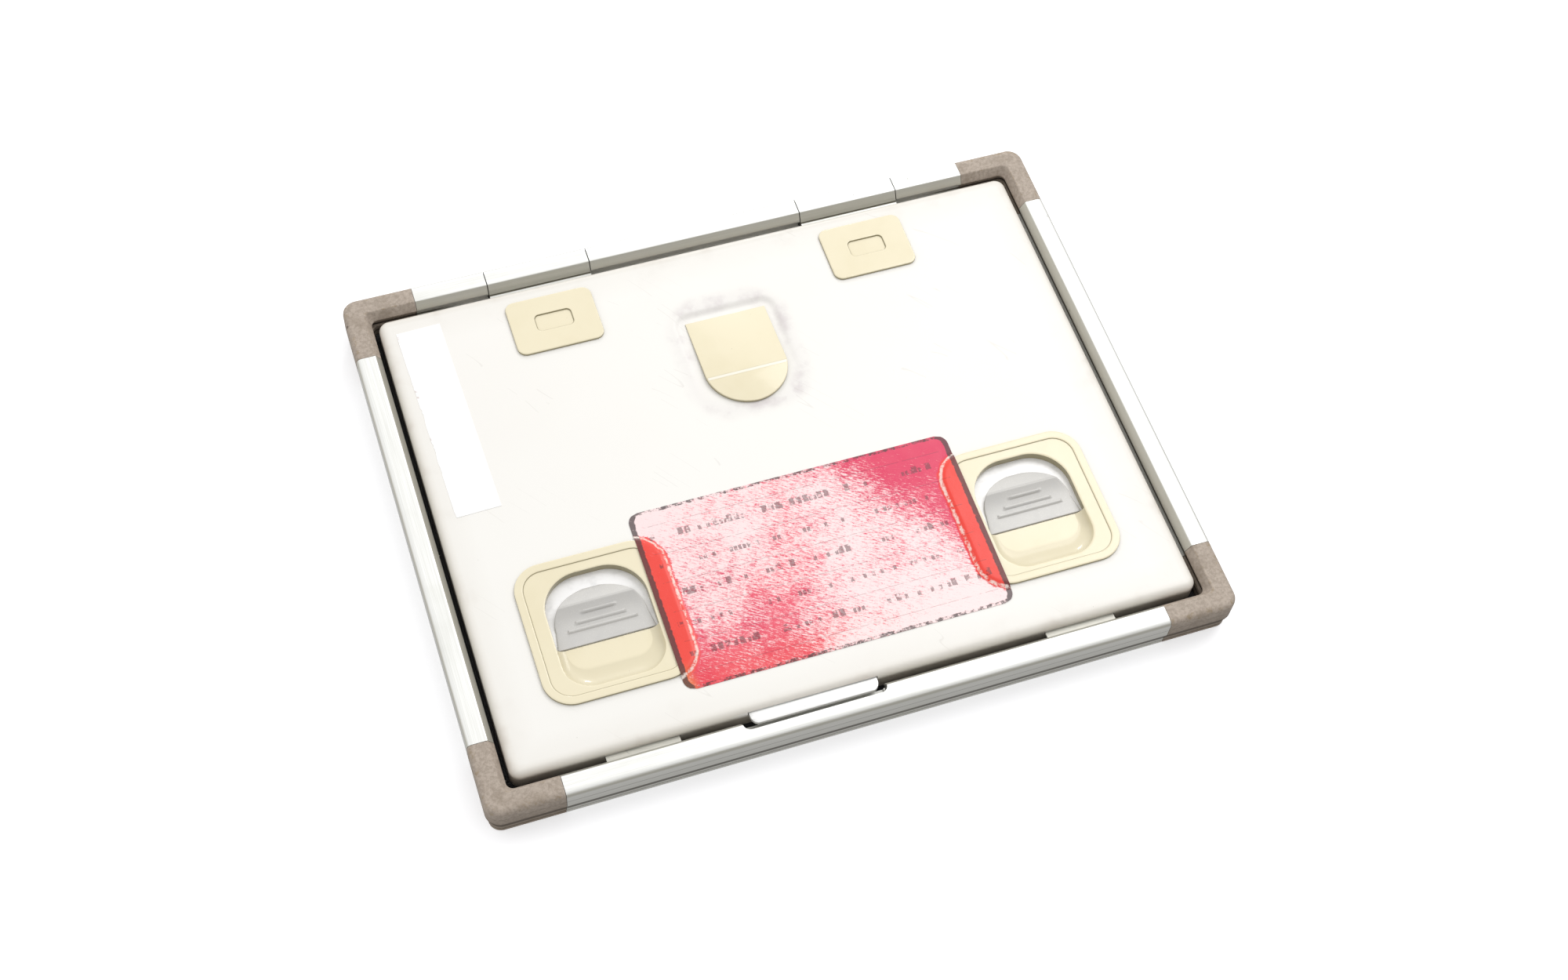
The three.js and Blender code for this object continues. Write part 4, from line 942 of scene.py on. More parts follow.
# %% Rail section
WIDTH = 9.2
TOP = frame_half.z
TOP_EDGE = 0.6
TOP_ROUND = 2.0
TINY = 0.15
rail_corners = [
    (1, 0, TINY), (12, 0, TINY), (12, 0.8, TINY), (8, 0.8, TINY), (8, 2.3, TINY),
    (WIDTH, 2.3, TINY), (WIDTH, 9, TINY), (7.9, 9, TINY), (7.9, 12, TINY), (WIDTH, 12, TINY),
    (WIDTH, 12.6, 0.25), (7.2, TOP, TOP_EDGE), (0, TOP, TOP_ROUND), (0, 6.4, 0.3),
    (1.6, 6.4, TINY), (1.6, 5, TINY), (1, 5, 0.2), (1, 1.9, TINY), (1.5, 1.9, TINY),
    (1.5, 1.2, TINY), (1, 1.2, TINY),
]
section = filleted(rail_corners)
spigot_room = [(2.8, 2.8), (2.8, 6), (7.8, 6), (7.8, 2.8)]
upper_room = [(1.4, 7.6), (1.4, 10.5), (4.6, 10.5), (4.6, 7.6)]
pin_room = arc(3.3, 12.8, 1.3, 0, 360, 24)[:-1]
holes = [spigot_room, upper_room, pin_room]
print("rail section:", len(section), "points")

# %% [markdown]
# The front rail has a notch for the lift tongue, and the hinge rail has two for the knuckles. On
# the real object a milling cutter takes them out after the extrusion is cut to length, so they
# are cut here too.

# %% Rails
SEAM = 0.15
LEG = 26.7
NOTCH_LEFT, NOTCH_RIGHT, NOTCH_FRONT, NOTCH_REAR = -46, 5.6, -102.1, -85
NOTCH_RADIUS = 2.6
tongue_notch = rounded_rect(NOTCH_LEFT, NOTCH_RIGHT, NOTCH_FRONT, NOTCH_REAR, NOTCH_RADIUS)
tongue_cutter = loft([[(x, y, z) for x, y in tongue_notch] for z in (8, TOP + 1)])
knuckle_low, knuckle_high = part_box("hinge_leaf_right")
knuckle_x = (knuckle_low.x + knuckle_high.x) / 2 / MM
knuckle_half = (knuckle_high.x - knuckle_low.x) / 2 / MM
NOTCH_GAP = 0.35
notch_half = knuckle_half + NOTCH_GAP
knuckle_cutters = [
    block(x - notch_half, x + notch_half, 94, 108, 7.3, TOP + 1) for x in (-knuckle_x, knuckle_x)
]


def make_rail(name, length, degrees, x, y, finish, cutters=()):
    """A rail between two corner pieces, turned and moved to its side of the frame."""
    half = length / 2 - LEG - SEAM
    points, faces = run_along(section, holes, -half, half)
    rings = len(section) + sum(len(hole) for hole in holes)
    edges = [p[2] for p in section] + [0.0] * (rings - len(section))
    piece = make_piece(
        name + "_fine", turned(points, degrees, x, y), faces, finish,
        "frame", [name], "anodised_aluminium", edges * 2,
    )
    if cutters:
        cut(piece, cutters)
    return piece


long_rail, short_rail = 2 * frame_half.x, 2 * frame_half.y
rails = [
    make_rail("rail_front", long_rail, 0, 0, -frame_half.y, anodised_x, [tongue_cutter]),
    make_rail("rail_hinge", long_rail, 180, 0, frame_half.y, anodised_x, knuckle_cutters),
    make_rail("rail_left", short_rail, -90, -frame_half.x, 0, anodised_y),
    make_rail("rail_right", short_rail, 90, frame_half.x, 0, anodised_y),
]
print("rails:", [len(rail.data.polygons) for rail in rails])

# %% [markdown]
# ## Corner pieces
#
# The corners are injection moulded and carry the rail section round the bend, so that a finger
# feels only the seam. The section is swept round a quarter turn. Each corner has two spigots that
# are pressed into the rails.

# %% Corners
OUTER_RADIUS = 5.5
INNER_RADIUS = 2.5
BEND_STEPS = 16
SPIGOT = (2.9, 7.7, 2.9, 5.9)
SPIGOT_TIP = LEG + 18


def corner_station(k, s, z):
    """A point of the section, s from the outer face, at a step of the way round the bend."""
    if k == 0:
        return (LEG, s, z)
    if k == BEND_STEPS + 2:
        return (s, LEG, z)
    radius = max(OUTER_RADIUS - s, INNER_RADIUS)
    angle = math.radians(270 - 90 * (k - 1) / BEND_STEPS)
    return (s + radius + radius * math.cos(angle), s + radius + radius * math.sin(angle), z)


loops = [[corner_station(k, u, v) for u, v, _ in section] for k in range(BEND_STEPS + 3)]
corner_points, corner_faces = loft(loops)
corner_edges = [p[2] for p in section] * len(loops)
s0, s1, z0, z1 = SPIGOT
spigots = [block(LEG - 0.3, SPIGOT_TIP, s0, s1, z0, z1), block(s0, s1, LEG - 0.3, SPIGOT_TIP, z0, z1)]
corner_places = (
    ("front_left", 0, -1, -1),
    ("front_right", 90, 1, -1),
    ("hinge_right", 180, 1, 1),
    ("hinge_left", 270, -1, 1),
)
for where, degrees, side_x, side_y in corner_places:
    x, y = side_x * frame_half.x, side_y * frame_half.y
    piece = make_piece(
        f"corner_{where}_fine", turned(corner_points, degrees, x, y), corner_faces,
        taupe_plastic, "frame", [f"corner_{where}"], "taupe_plastic", corner_edges,
    )
    cut(piece, [(turned(points, degrees, x, y), faces) for points, faces in spigots], "UNION")
print("corner:", len(piece.data.polygons), "faces")

# %% [markdown]
# ## Tube side
#
# The side that faces the X-ray tube is a thin sheet that lets the rays through, with one
# intensifying screen glued to it. Felt strips round the edge keep light out. Felt is cut from a
# sheet and its edges swell a little, so its strips get round shoulders.

# %% Felt strips and front screen
SEAL_HALF_X = 125.8
SEAL_HALF_Y = 96.8
SEAL_WIDTH = 4.6
END_SEAL_HALF = 91.9
SHOULDER = 1.0
seal_low, seal_high = box_mm("light_seal_front")
felt_section = filleted([
    (0, seal_low.z, TINY), (SEAL_WIDTH, seal_low.z, TINY),
    (SEAL_WIDTH, seal_high.z, SHOULDER), (0, seal_high.z, SHOULDER),
])
felt_places = (
    ("front", SEAL_HALF_X, 0, 0, -SEAL_HALF_Y),
    ("hinge", SEAL_HALF_X, 180, 0, SEAL_HALF_Y),
    ("left", END_SEAL_HALF, -90, -SEAL_HALF_X, 0),
    ("right", END_SEAL_HALF, 90, SEAL_HALF_X, 0),
)
for where, half, degrees, x, y in felt_places:
    points, faces = run_along(felt_section, [], -half, half)
    make_piece(
        f"light_seal_{where}_felt", turned(points, degrees, x, y), faces, black_felt,
        "frame", [f"light_seal_{where}"], "black_felt",
    )

SCREEN_CORNER = 3.0
SCREEN_EDGE = 0.15


def make_sheet(node, finish, slot, body, corner=SCREEN_CORNER, round_edge=SCREEN_EDGE):
    """A thin sheet with round corners and softly broken edges, as big as its node."""
    low, high = box_mm(node)
    levels = (
        (round_edge, low.z), (0, low.z + round_edge),
        (0, high.z - round_edge), (round_edge, high.z),
    )
    loops = []
    for inset, z in levels:
        outline = rounded_rect(
            low.x + inset, high.x - inset, low.y + inset, high.y - inset, corner - inset
        )
        loops.append([(x, y, z) for x, y in outline])
    points, faces = loft(loops)
    return make_piece(f"{node}_sheet", points, faces, finish, body, [node], slot, [1.0] * len(points))


make_sheet("front_screen", screen_white, "screen_white", "frame")
print("felt strips and front screen made")

# %% [markdown]
# The front panel keeps the shape of the packed model: it is a flat sheet whose edges sit in the
# rails. What makes it real is its dark textured coating, with the fine centring cross and corner
# marks that help to place the cassette under the X-ray tube. Both are drawn from distances to the
# middle of the sheet.

# %% Front panel finish
LINE_HALF = 0.25 * MM
FIELD_X = 0.12
FIELD_Y = 0.09
panel_paint, net, place, put = new_finish("panel_paint", Specular_IOR_Level=0.4)
x, y = net.split(place)[:2]
away_x, away_y = net.absolute(x), net.absolute(y)
on_cross = net.below(net.smaller(away_x, away_y), LINE_HALF)
to_side = net.absolute(net.minus(away_x, FIELD_X))
to_end = net.absolute(net.minus(away_y, FIELD_Y))
on_field = net.below(net.smaller(to_side, to_end), LINE_HALF)
printed = net.larger(on_cross, on_field)
print_wear = net.use(blotches, Vector=place, Scale=60.0, Low=0.3, High=0.5)["Mask"]
coating = net.use(moulded_grain, Vector=place, Scale=1100.0)
rubs = net.use(scratches, Vector=place, Stretch=(8.0, 150.0, 8.0), Turn=0.7, Share=0.6)["Mask"]
skin = net.mix(coating["Shade"], colour(70, 72, 75), colour(88, 90, 93))
skin = net.tint(skin, rubs, 0.4, (132, 132, 130))
put("Base Color", net.mix(net.times(printed, print_wear), skin, colour(206, 206, 200)))
put("Roughness", net.ramp(coating["Height"], 0.3, 1.1, 0.42, 0.6))
put("Normal", net.bump(coating["Height"], 0.3, 0.05))


def refinish(node, finish, bevel=0.0):
    """Gives a node of the model its finish and, where it has bare edges, a small bevel."""
    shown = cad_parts[node]
    shown.data.materials.clear()
    shown.data.materials.append(finish)
    if bevel:
        shown.modifiers.new("weld", "WELD")
        modifier = shown.modifiers.new("bevel", "BEVEL")
        modifier.width = bevel * MM
        modifier.segments = 2
        modifier.limit_method = "ANGLE"


refinish("front_panel", panel_paint)
refinish("inner_plate", bright_sheet)
refinish("lead_foil", lead)
for side, _ in LEFT_RIGHT:
    refinish(f"latch_bolt_{side}", steel, 0.12)
    refinish(f"latch_guide_{side}", bright_sheet)
    refinish(f"hinge_pin_{side}", steel)
    for end in ("a", "b"):
        refinish(f"hinge_rivet_{side}_{end}", steel)
print("finishes given to the pieces that keep their shape")

# %% [markdown]
# ## Lid sheet
#
# The lid is one pressed sheet: a flat top with a shallow wedge-shaped hollow for the centre piece,
# rounded edges and a flange turned down all round. Only the outer skin is drawn, as a grid with
# finer steps at the hollow, and rings lead from its border over the edge. A solidify modifier
# then adds the sheet's thickness inwards, which is just how the real sheet behaves in the press.

# %% Lid skin
LID_ROUND = 2.5
LID_CORNER = 4.0
RIM_WIDTH = 6.0
HOLLOW = {"half": 20.3, "end": 67.5, "fade": 28.0, "depth": 1.2, "radius": 6.0, "wall": 2.6}


def hollow_floor(x, y):
    """Depth of the wedge-shaped hollow below the lid top."""
    share = (y - HOLLOW["fade"]) / (HOLLOW["end"] - HOLLOW["fade"])
    return HOLLOW["depth"] * min(1.0, max(0.0, share))


def lid_surface(x, y):
    """Height of the lid's outside, with the wall of the hollow as a soft step."""
    half, end, fade = HOLLOW["half"], HOLLOW["end"], HOLLOW["fade"]
    beyond = rect_distance(x, y, -half, half, fade - 30, end, HOLLOW["radius"])
    return lid_top - hollow_floor(x, y) * smooth(-beyond, 0.0, HOLLOW["wall"])


def lid_lines(half, dense_low, dense_high, dense_step):
    """Grid lines from -half to half that are fine between two values and wide elsewhere."""
    lines = spread(-half, dense_low, 9.0) + spread(dense_low, dense_high, dense_step)[1:]
    return lines + spread(dense_high, half, 9.0)[1:]


core_x, core_y = lid_high.x - LID_CORNER, lid_high.y - LID_CORNER
xs = lid_lines(core_x, -22.5, 22.5, 0.75)
ys = lid_lines(core_y, 24.0, 69.0, 0.75)
points = [(x, y, lid_surface(x, y)) for y in ys for x in xs]
faces = [
    (r * len(xs) + c, r * len(xs) + c + 1, (r + 1) * len(xs) + c + 1, (r + 1) * len(xs) + c)
    for r in range(len(ys) - 1)
    for c in range(len(xs) - 1)
]
CORNER_STEPS = 8


def lid_ring(out, z):
    """A ring round the grid, out from its border, with one point for each border point."""
    def corner(x, y, start):
        return arc(x, y, out, start, start + 90, CORNER_STEPS)

    ring = [(x, -core_y - out) for x in xs] + corner(core_x, -core_y, -90)
    ring += [(core_x + out, y) for y in ys] + corner(core_x, core_y, 0)
    ring += [(x, core_y + out) for x in reversed(xs)] + corner(-core_x, core_y, 90)
    ring += [(-core_x - out, y) for y in reversed(ys)] + corner(-core_x, -core_y, 180)
    return [(x, y, z) for x, y in ring]


flat = LID_CORNER - LID_ROUND
profile = [(0.0, lid_top), (flat * 0.6, lid_top), (flat, lid_top)]
for k in range(1, 9):
    angle = math.radians(90 * k / 8)
    profile.append((flat + LID_ROUND * math.sin(angle), lid_top - LID_ROUND * (1 - math.cos(angle))))
profile += [(LID_CORNER, 11.5), (LID_CORNER, lid_low.z)]
ring_points, ring_faces = loft([lid_ring(out, z) for out, z in profile], caps=False)
faces += [tuple(len(points) + i for i in face) for face in ring_faces]
points += ring_points


def near_rim(x, y):
    """1 on the lid's edge, fading to 0 over a band inside it."""
    beyond = rect_distance(x, y, lid_low.x, lid_high.x, lid_low.y, lid_high.y, LID_CORNER)
    return smooth(beyond, -RIM_WIDTH, 0.0)


lid_sheet = make_piece(
    "lid_sheet", points, faces, lid_paint, "lid", ["lid_panel"], "lid_paint",
    [near_rim(x, y) for x, y, _ in points],
)
thickness = lid_sheet.modifiers.new("sheet", "SOLIDIFY")
thickness.thickness = LID_SHEET * MM
thickness.offset = -1
settle(lid_sheet)
print("lid skin:", len(lid_sheet.data.polygons), "faces")

# %% [markdown]
# Openings follow, as a punch would make them: one under each latch bezel, slots in the flange for
# the bolts, the lift tongue and the hinge leaves, and the holes for the rivets and the stem of
# the centre piece.

# %% Openings in the lid
latch_x = 79.7
rivet_y = 77.2
RIVET_PITCH = 18
RIVET_HOLE = 2.55
LIP_IN, LIP_OUT = 91.6, 96.5
LIP_TOP = 13.79
TONGUE_LEFT, TONGUE_RIGHT, TONGUE_LOW = -42.6, 4.2, 11.6
STEM_Y, STEM_HOLE = 49.25, 3.3
HOLE_HALF, HOLE_FRONT, HOLE_REAR, HOLE_RADIUS = 19.75, 22.7, 69.7, 10
BOLT_HALF, BOLT_LOW, BOLT_HIGH = 13.3, 10.1, 11.9
LEAF_SLOT_HALF = 19.95

cutters = [block(TONGUE_LEFT, TONGUE_RIGHT, -LIP_OUT, -LIP_IN, TONGUE_LOW, LIP_TOP)]
cutters.append(cylinder(0, STEM_Y, STEM_HOLE, 10, 17))
for _, sign in LEFT_RIGHT:
    x = sign * latch_x
    front, rear = lid_front + HOLE_FRONT, lid_front + HOLE_REAR
    hole = rounded_rect(x - HOLE_HALF, x + HOLE_HALF, front, rear, HOLE_RADIUS)
    cutters.append(loft([[(px, py, z) for px, py in hole] for z in (12.8, 16)]))
    cutters.append(block(x - BOLT_HALF, x + BOLT_HALF, -LIP_OUT, -LIP_IN, BOLT_LOW, BOLT_HIGH))
    x = sign * knuckle_x
    left, right = x - LEAF_SLOT_HALF, x + LEAF_SLOT_HALF
    cutters.append(block(left, right, LIP_IN, LIP_OUT, BOLT_LOW, LIP_TOP))
    for end in (-1, 1):
        cutters.append(cylinder(x + end * RIVET_PITCH / 2, rivet_y, RIVET_HOLE, 12.8, 16))
cut(lid_sheet, cutters)
print("lid sheet:", len(lid_sheet.data.polygons), "faces after", len(cutters), "openings")

# %% [markdown]
# ## Inside of the lid
#
# Under the sheet lie the inner plate, a lead foil that stops rays scattered from behind, a foam
# pad and the second screen. The pad is soft: it bulges a little at its sides, and it is only
# drawn as full as it would be when it is squeezed by the closed lid.

# %% Pad and back screen
make_sheet("back_screen", screen_white, "screen_white", "lid")
pad_low, pad_high = box_mm("pressure_pad")
loops = []
for k in range(9):
    share = k / 8
    inset = 1.1 - 0.9 * math.sin(math.pi * share)
    outline = rounded_rect(
        pad_low.x + inset, pad_high.x - inset, pad_low.y + inset, pad_high.y - inset, 4
    )
    loops.append([(x, y, pad_low.z + (pad_high.z - pad_low.z) * share) for x, y in outline])
pad = make_piece("pressure_pad_foam", *loft(loops), foam, "lid", ["pressure_pad"], "foam")
print("pad from", round(pad_low.z, 1), "to", round(pad_high.z, 1), "mm")

# %% [markdown]
# ## Hinges
#
# Each hinge is one extruded piece: a knuckle that continues the shape of the rail, and a leaf that
# steps up under the lid sheet and is riveted to it. A steel pin runs through knuckle and rail.

# %% Hinge leaves
PIN = (3.3, 12.8)
KNUCKLE_RADIUS = 5.2
FROM_ANGLE, TO_ANGLE = -129.4, -27.5
leaf_corners = [(u, v, 0) for u, v in arc(*PIN, KNUCKLE_RADIUS, FROM_ANGLE, TO_ANGLE, 20)]
leaf_corners += [
    (11.9, 10.4, 0.3), (13.2, 12.3, 0.3), (41.7, 12.3, 0.3), (41.7, 13.8, 0.3),
    (12.9, 13.8, 0.3), (11.3, 11.9, 0.3), (9.61, 11.9, 0.3), (7.2, TOP, TOP_EDGE),
    (0, TOP, TOP_ROUND),
]
leaf_section = filleted(leaf_corners)
LEAF_HALF = 15.0
for side, sign in LEFT_RIGHT:
    points, faces = run_along(leaf_section, [pin_room], -knuckle_half, knuckle_half)
    leaf = make_piece(
        f"hinge_leaf_{side}_fine", turned(points, 180, sign * knuckle_x, frame_half.y), faces,
        anodised_x, "lid", [f"hinge_leaf_{side}"], "anodised_aluminium",
        ([p[2] for p in leaf_section] + [0.0] * len(pin_room)) * 2,
    )
    x = sign * knuckle_x
    trims = [
        block(x + low, x + high, 60, 91.6, 9, 17)
        for low, high in ((-25, -LEAF_HALF), (LEAF_HALF, 25))
    ]
    trims += [cylinder(x + end * RIVET_PITCH / 2, rivet_y, 1.65, 10, 17) for end in (-1, 1)]
    cut(leaf, trims)
print("hinge leaf:", len(leaf.data.polygons), "faces")

# %% [markdown]
# ## Latch bezels
#
# Each bezel is an ivory moulding: a flange with a raised rim lies on the lid, and inside it a
# window with straight walls opens into a finger scoop at the front. All of this is one surface
# that runs from the flange's underside over the rim, down the opening and back up the outside of
# its wall. So it is drawn as columns that follow the opening, each with the same list of levels.

# %% Plan of a bezel, as distances from the lid's front edge
WINDOW = {"half": 18.15, "front": 41.1, "rear": 68.1, "radius": 14.0}
SCOOP = {"front": 24.3, "radius": 10.0, "in_x": 3.2, "in_y": 7.5, "floor": 12.4}
FLANGE = {"half": 26.5, "front": 19.3, "rear": 74.7, "radius": 10.5, "rim": 3.0}
FACE_Z, RIM_Z = 15.65, 16.0
WALL_LOW, LIP_LOW = 12.6, 11.8
WALL = 1.2
PLAN_CENTRE = (0.0, 46.6)


def opening(grow=0.0, in_x=0.0, in_y=0.0):
    """Columns round the opening: window points first, then scoop points, anticlockwise."""
    half, front, rear = WINDOW["half"] + grow, WINDOW["front"], WINDOW["rear"] + grow
    radius = WINDOW["radius"] + grow
    window = [(half, y) for y in spread(front, rear - radius, 1.2)[:-1]]
    window += arc(half - radius, rear - radius, radius, 0, 90, 22)
    window += [(x, rear) for x in spread(radius - half, half - radius, 1.2)[1:-1]][::-1]
    window += arc(radius - half, rear - radius, radius, 90, 180, 22)
    window += [(-half, y) for y in spread(front, rear - radius, 1.2)[:-1]][::-1]
    half, low = WINDOW["half"] + grow - in_x, SCOOP["front"] - grow + in_y
    radius = SCOOP["radius"] + grow - in_x
    scoop = [(-half, front + (low + radius - front) * k / 10) for k in range(10)]
    scoop += arc(radius - half, low + radius, radius, 180, 270, 22)
    scoop += [(radius - half + (2 * half - 2 * radius) * k / 16, low) for k in range(1, 16)]
    scoop += arc(half - radius, low + radius, radius, 270, 360, 22)
    scoop += [(half, low + radius + (front - low - radius) * k / 10) for k in range(1, 11)]
    return window, scoop


def reach(point, inset):
    """Where the ray from the middle of the plan through a point leaves the flange."""
    half, front, rear = FLANGE["half"] - inset, FLANGE["front"] + inset, FLANGE["rear"] - inset
    ray = (Vector(point) - Vector(PLAN_CENTRE)).normalized()
    near, far = 0.0, 60.0
    for _ in range(30):
        middle = (near + far) / 2
        x, y = Vector(PLAN_CENTRE) + ray * middle
        inside = rect_distance(x, y, -half, half, front, rear, FLANGE["radius"] - inset) < 0
        near, far = (middle, far) if inside else (near, middle)
    return tuple(Vector(PLAN_CENTRE) + ray * near)


# %% [markdown]
# The levels of a column are listed from the flange's underside over the rim to the edge of the
# opening, then down its wall or its scoop. The window's columns stay upright, and the scoop's
# columns follow a quarter ellipse down to the floor that the finger slides along.

# %% Bezels
SCOOP_STEPS = 12
rim_profile = [(0.0, lid_top), (0.0, 15.35), (0.0, RIM_Z - 0.3), (0.09, RIM_Z - 0.09)]
rim_profile += [(0.3, RIM_Z), (0.7, RIM_Z), (2.4, RIM_Z), (2.75, RIM_Z), (2.93, RIM_Z - 0.08)]
rim_profile += [(3.0, FACE_Z + 0.1), (3.08, FACE_Z), (3.5, FACE_Z)]
# Edge values per level: negative ones paint shade on the outer wall and in the step inside the rim,
# positive ones mark wear on the rim. WINDOW_SHADE and SCOOP_SHADE paint shade on the window walls and,
# lighter, in the scoop.
RIM_EDGES = (-1, -1, -0.9, -0.1, 1, 0.8, 0.2, 1.0, 0, -0.8, -0.7, 0)
EDGE_FILLET = 0.3
WINDOW_SHADE, SCOOP_SHADE = -0.9, -0.32


def bezel_levels():
    """Loops of (x, y, z) with their edge value, all in the same order of columns."""
    window, scoop = opening()
    columns = window + scoop
    levels = [
        ([(*reach(p, inset), z) for p in columns], edge)
        for (inset, z), edge in zip(rim_profile, RIM_EDGES)
    ]
    for grow, drop, edge in ((0.8, 0.0, 0), (EDGE_FILLET, 0.0, 1), (0.09, 0.09, 1)):
        wider = sum(opening(grow), [])
        levels.append(([(x, y, FACE_Z - drop) for x, y in wider], edge))
    for k in range(SCOOP_STEPS + 1):
        angle = math.radians(90 * (1 - k / SCOOP_STEPS)) * 0.94
        share = 1 - math.sin(angle)
        depth = FACE_Z - SCOOP["floor"]
        scoop_z = SCOOP["floor"] + depth * (1 - math.cos(angle))
        wall_z = FACE_Z - 0.3 + (WALL_LOW - FACE_Z + 0.3) * k / SCOOP_STEPS
        inner = opening(0.0, SCOOP["in_x"] * share, SCOOP["in_y"] * share)[1]
        loop = [(x, y, wall_z) for x, y in window] + [(x, y, scoop_z) for x, y in inner]
        levels.append((loop, [WINDOW_SHADE] * len(window) + [SCOOP_SHADE] * len(inner)))
    floor_line = [(x, WINDOW["front"]) for x, _ in opening(0, SCOOP["in_x"], SCOOP["in_y"])[1]]
    under = opening(0.15)[0]
    for scoop_z in (SCOOP["floor"], LIP_LOW):
        loop = [(x, y, WALL_LOW) for x, y in under] + [(x, y, scoop_z) for x, y in floor_line]
        levels.append((loop, 1))
    outside = opening(WALL)
    for z_window, z_scoop in ((WALL_LOW, LIP_LOW), (lid_top - 0.02, lid_top - 0.02)):
        loop = [(x, y, z_window) for x, y in outside[0]] + [(x, y, z_scoop) for x, y in outside[1]]
        levels.append((loop, 0))
    return levels


for side, sign in LEFT_RIGHT:
    levels = bezel_levels()
    points, faces = loft([loop for loop, _ in levels], close=True)
    points = [(sign * latch_x + x, lid_front + y, z) for x, y, z in points]
    shades = [edge if isinstance(edge, list) else [float(edge)] * len(loop) for loop, edge in levels]
    edges = sum(shades, [])
    bezel = make_piece(
        f"latch_bezel_{side}_moulded", points, faces, ivory_plastic, "lid",
        [f"latch_bezel_{side}"], "ivory_plastic", edges,
    )
loose = [e for e in bezel.data.edges if e.is_loose]
print("bezel:", len(bezel.data.polygons), "faces,", len(loose), "loose edges")

# %% [markdown]
# ## Sliders
#
# The finger slides the silver-grey grip towards the hinge. It is an arched wedge on a thin plate,
# lowest at the front, with three short ribs for hold. The grip is a fine grid, because its ramp
# and its ribs are heights over a plan. Its rows get shorter towards the round end.

# %% Slider plate and grip
PLATE_LOW, PLATE_TOP = 11.65, 12.4
PLATE_GROW, PLATE_REAR, PLATE_FRONT = 1.2, 4.5, 41.45
GRIP = {"front_half": 17.6, "half": 16.4, "top": 62.6, "ridge": 56.2, "height": 2.2, "low": 0.4}
GRIP_MIDDLE = 48.65
RAMP_CURVE = 3.0
RIBS = ((53.3, 12.0), (50.0, 18.4), (47.4, 25.0))
RIB_RADIUS = 0.7
RIDGE_ROUND, RIDGE_DROP = 0.9, 0.25


def grip_half(y):
    """Half the width of the grip: straight sides in front and half an ellipse behind."""
    if y <= GRIP_MIDDLE:
        share = (y - PLATE_FRONT) / (GRIP_MIDDLE - PLATE_FRONT)
        return GRIP["front_half"] + (GRIP["half"] - GRIP["front_half"]) * share
    share = (y - GRIP_MIDDLE) / (GRIP["top"] - GRIP_MIDDLE)
    return GRIP["half"] * math.sqrt(max(0.0, 1 - share * share))


def grip_height(x, y):
    """Height over the plate: ramp, rounded ridge, far slope and the ribs."""
    climb = max(0.0, (y - WINDOW["front"]) / (GRIP["ridge"] - WINDOW["front"]))
    ramp = GRIP["low"] + (GRIP["height"] - GRIP["low"]) * min(1.0, climb) ** RAMP_CURVE
    beyond = y - GRIP["ridge"] - RIDGE_ROUND
    run = GRIP["top"] - GRIP["ridge"] - RIDGE_ROUND
    fall = (GRIP["height"] - GRIP["low"]) * max(0.0, beyond / run)
    far = GRIP["height"] - RIDGE_DROP - fall
    height = ramp if beyond < 0 else min(ramp, far)
    if -RIDGE_ROUND < beyond < 0:
        height = ramp - RIDGE_DROP * smooth(beyond, -RIDGE_ROUND, 0.0)
    for rib_y, length in RIBS:
        along = max(0.0, abs(x) - length / 2 + RIB_RADIUS)
        apart = math.hypot(along, y - rib_y)
        if apart < RIB_RADIUS:
            height += math.sqrt(RIB_RADIUS**2 - apart**2) * 0.9
    return height


def ridge_shade(y):
    """Painted shade: a grey band just in front of the ridge, fading to the front and the back."""
    return smooth(y, GRIP["ridge"] - 9.0, GRIP["ridge"] - 0.6) * (y < GRIP["ridge"] + RIDGE_ROUND)


def slider_plate():
    """The thin plate under the grip, a little wider than the window and straight in front."""
    half = WINDOW["half"] + PLATE_GROW
    rear = WINDOW["rear"] + PLATE_REAR
    radius = WINDOW["radius"] + PLATE_GROW
    outline = [(-half, PLATE_FRONT), (half, PLATE_FRONT)]
    outline += arc(half - radius, rear - radius, radius, 0, 90, 20)
    outline += arc(radius - half, rear - radius, radius, 90, 180, 20)
    loops = [[(x, y, z) for x, y in outline] for z in (PLATE_LOW, PLATE_TOP)]
    return loft(loops)


GRIP_FILLET = 0.25
grip_rows = spread(PLATE_FRONT + GRIP_FILLET, GRIP_MIDDLE, 0.16)
tip_run = GRIP["top"] - GRIP_MIDDLE - GRIP_FILLET
grip_rows += [
    GRIP_MIDDLE + tip_run * math.sin(math.radians(angle)) for angle in spread(0, 88.5, 1.1)[1:]
]
grid = []
for y in grip_rows:
    half = max(0.25, grip_half(y) - GRIP_FILLET)
    grid.append([(x, y, PLATE_TOP + grip_height(x, y)) for x in spread(-half, half, half / 26)])
skirt = [(0.1, 0.02), (0.18, 0.07), (0.25, 0.18), (0.25, None)]
grip_points, grip_faces = skirted(grid, skirt, lambda x, y: PLATE_TOP - 0.1)
plate_points, plate_faces = slider_plate()
for side, sign in LEFT_RIGHT:
    points = plate_points + grip_points
    faces = plate_faces + [tuple(len(plate_points) + i for i in face) for face in grip_faces]
    # The plate's points get 1, which paints a highlight on it; the grip's points get the painted shade
    # in front of its ridge.
    edges = [1.0] * len(plate_points) + [-ridge_shade(p[1]) for p in grip_points]
    slider = make_piece(
        f"latch_slider_{side}_grip",
        [(sign * latch_x + x, lid_front + y, z) for x, y, z in points],
        faces, grey_plastic, f"latch_{side}", [f"latch_slider_{side}"], "grey_plastic", edges,
    )
print("slider:", len(slider.data.polygons), "faces")

# %% [markdown]
# ## Return springs
#
# A small compression spring behind each bolt pushes it forward again. It is wound from thin wire,
# so it is a ring of points carried along a helix. The coil is drawn at the length of its node, and
# each one gets its own mesh.

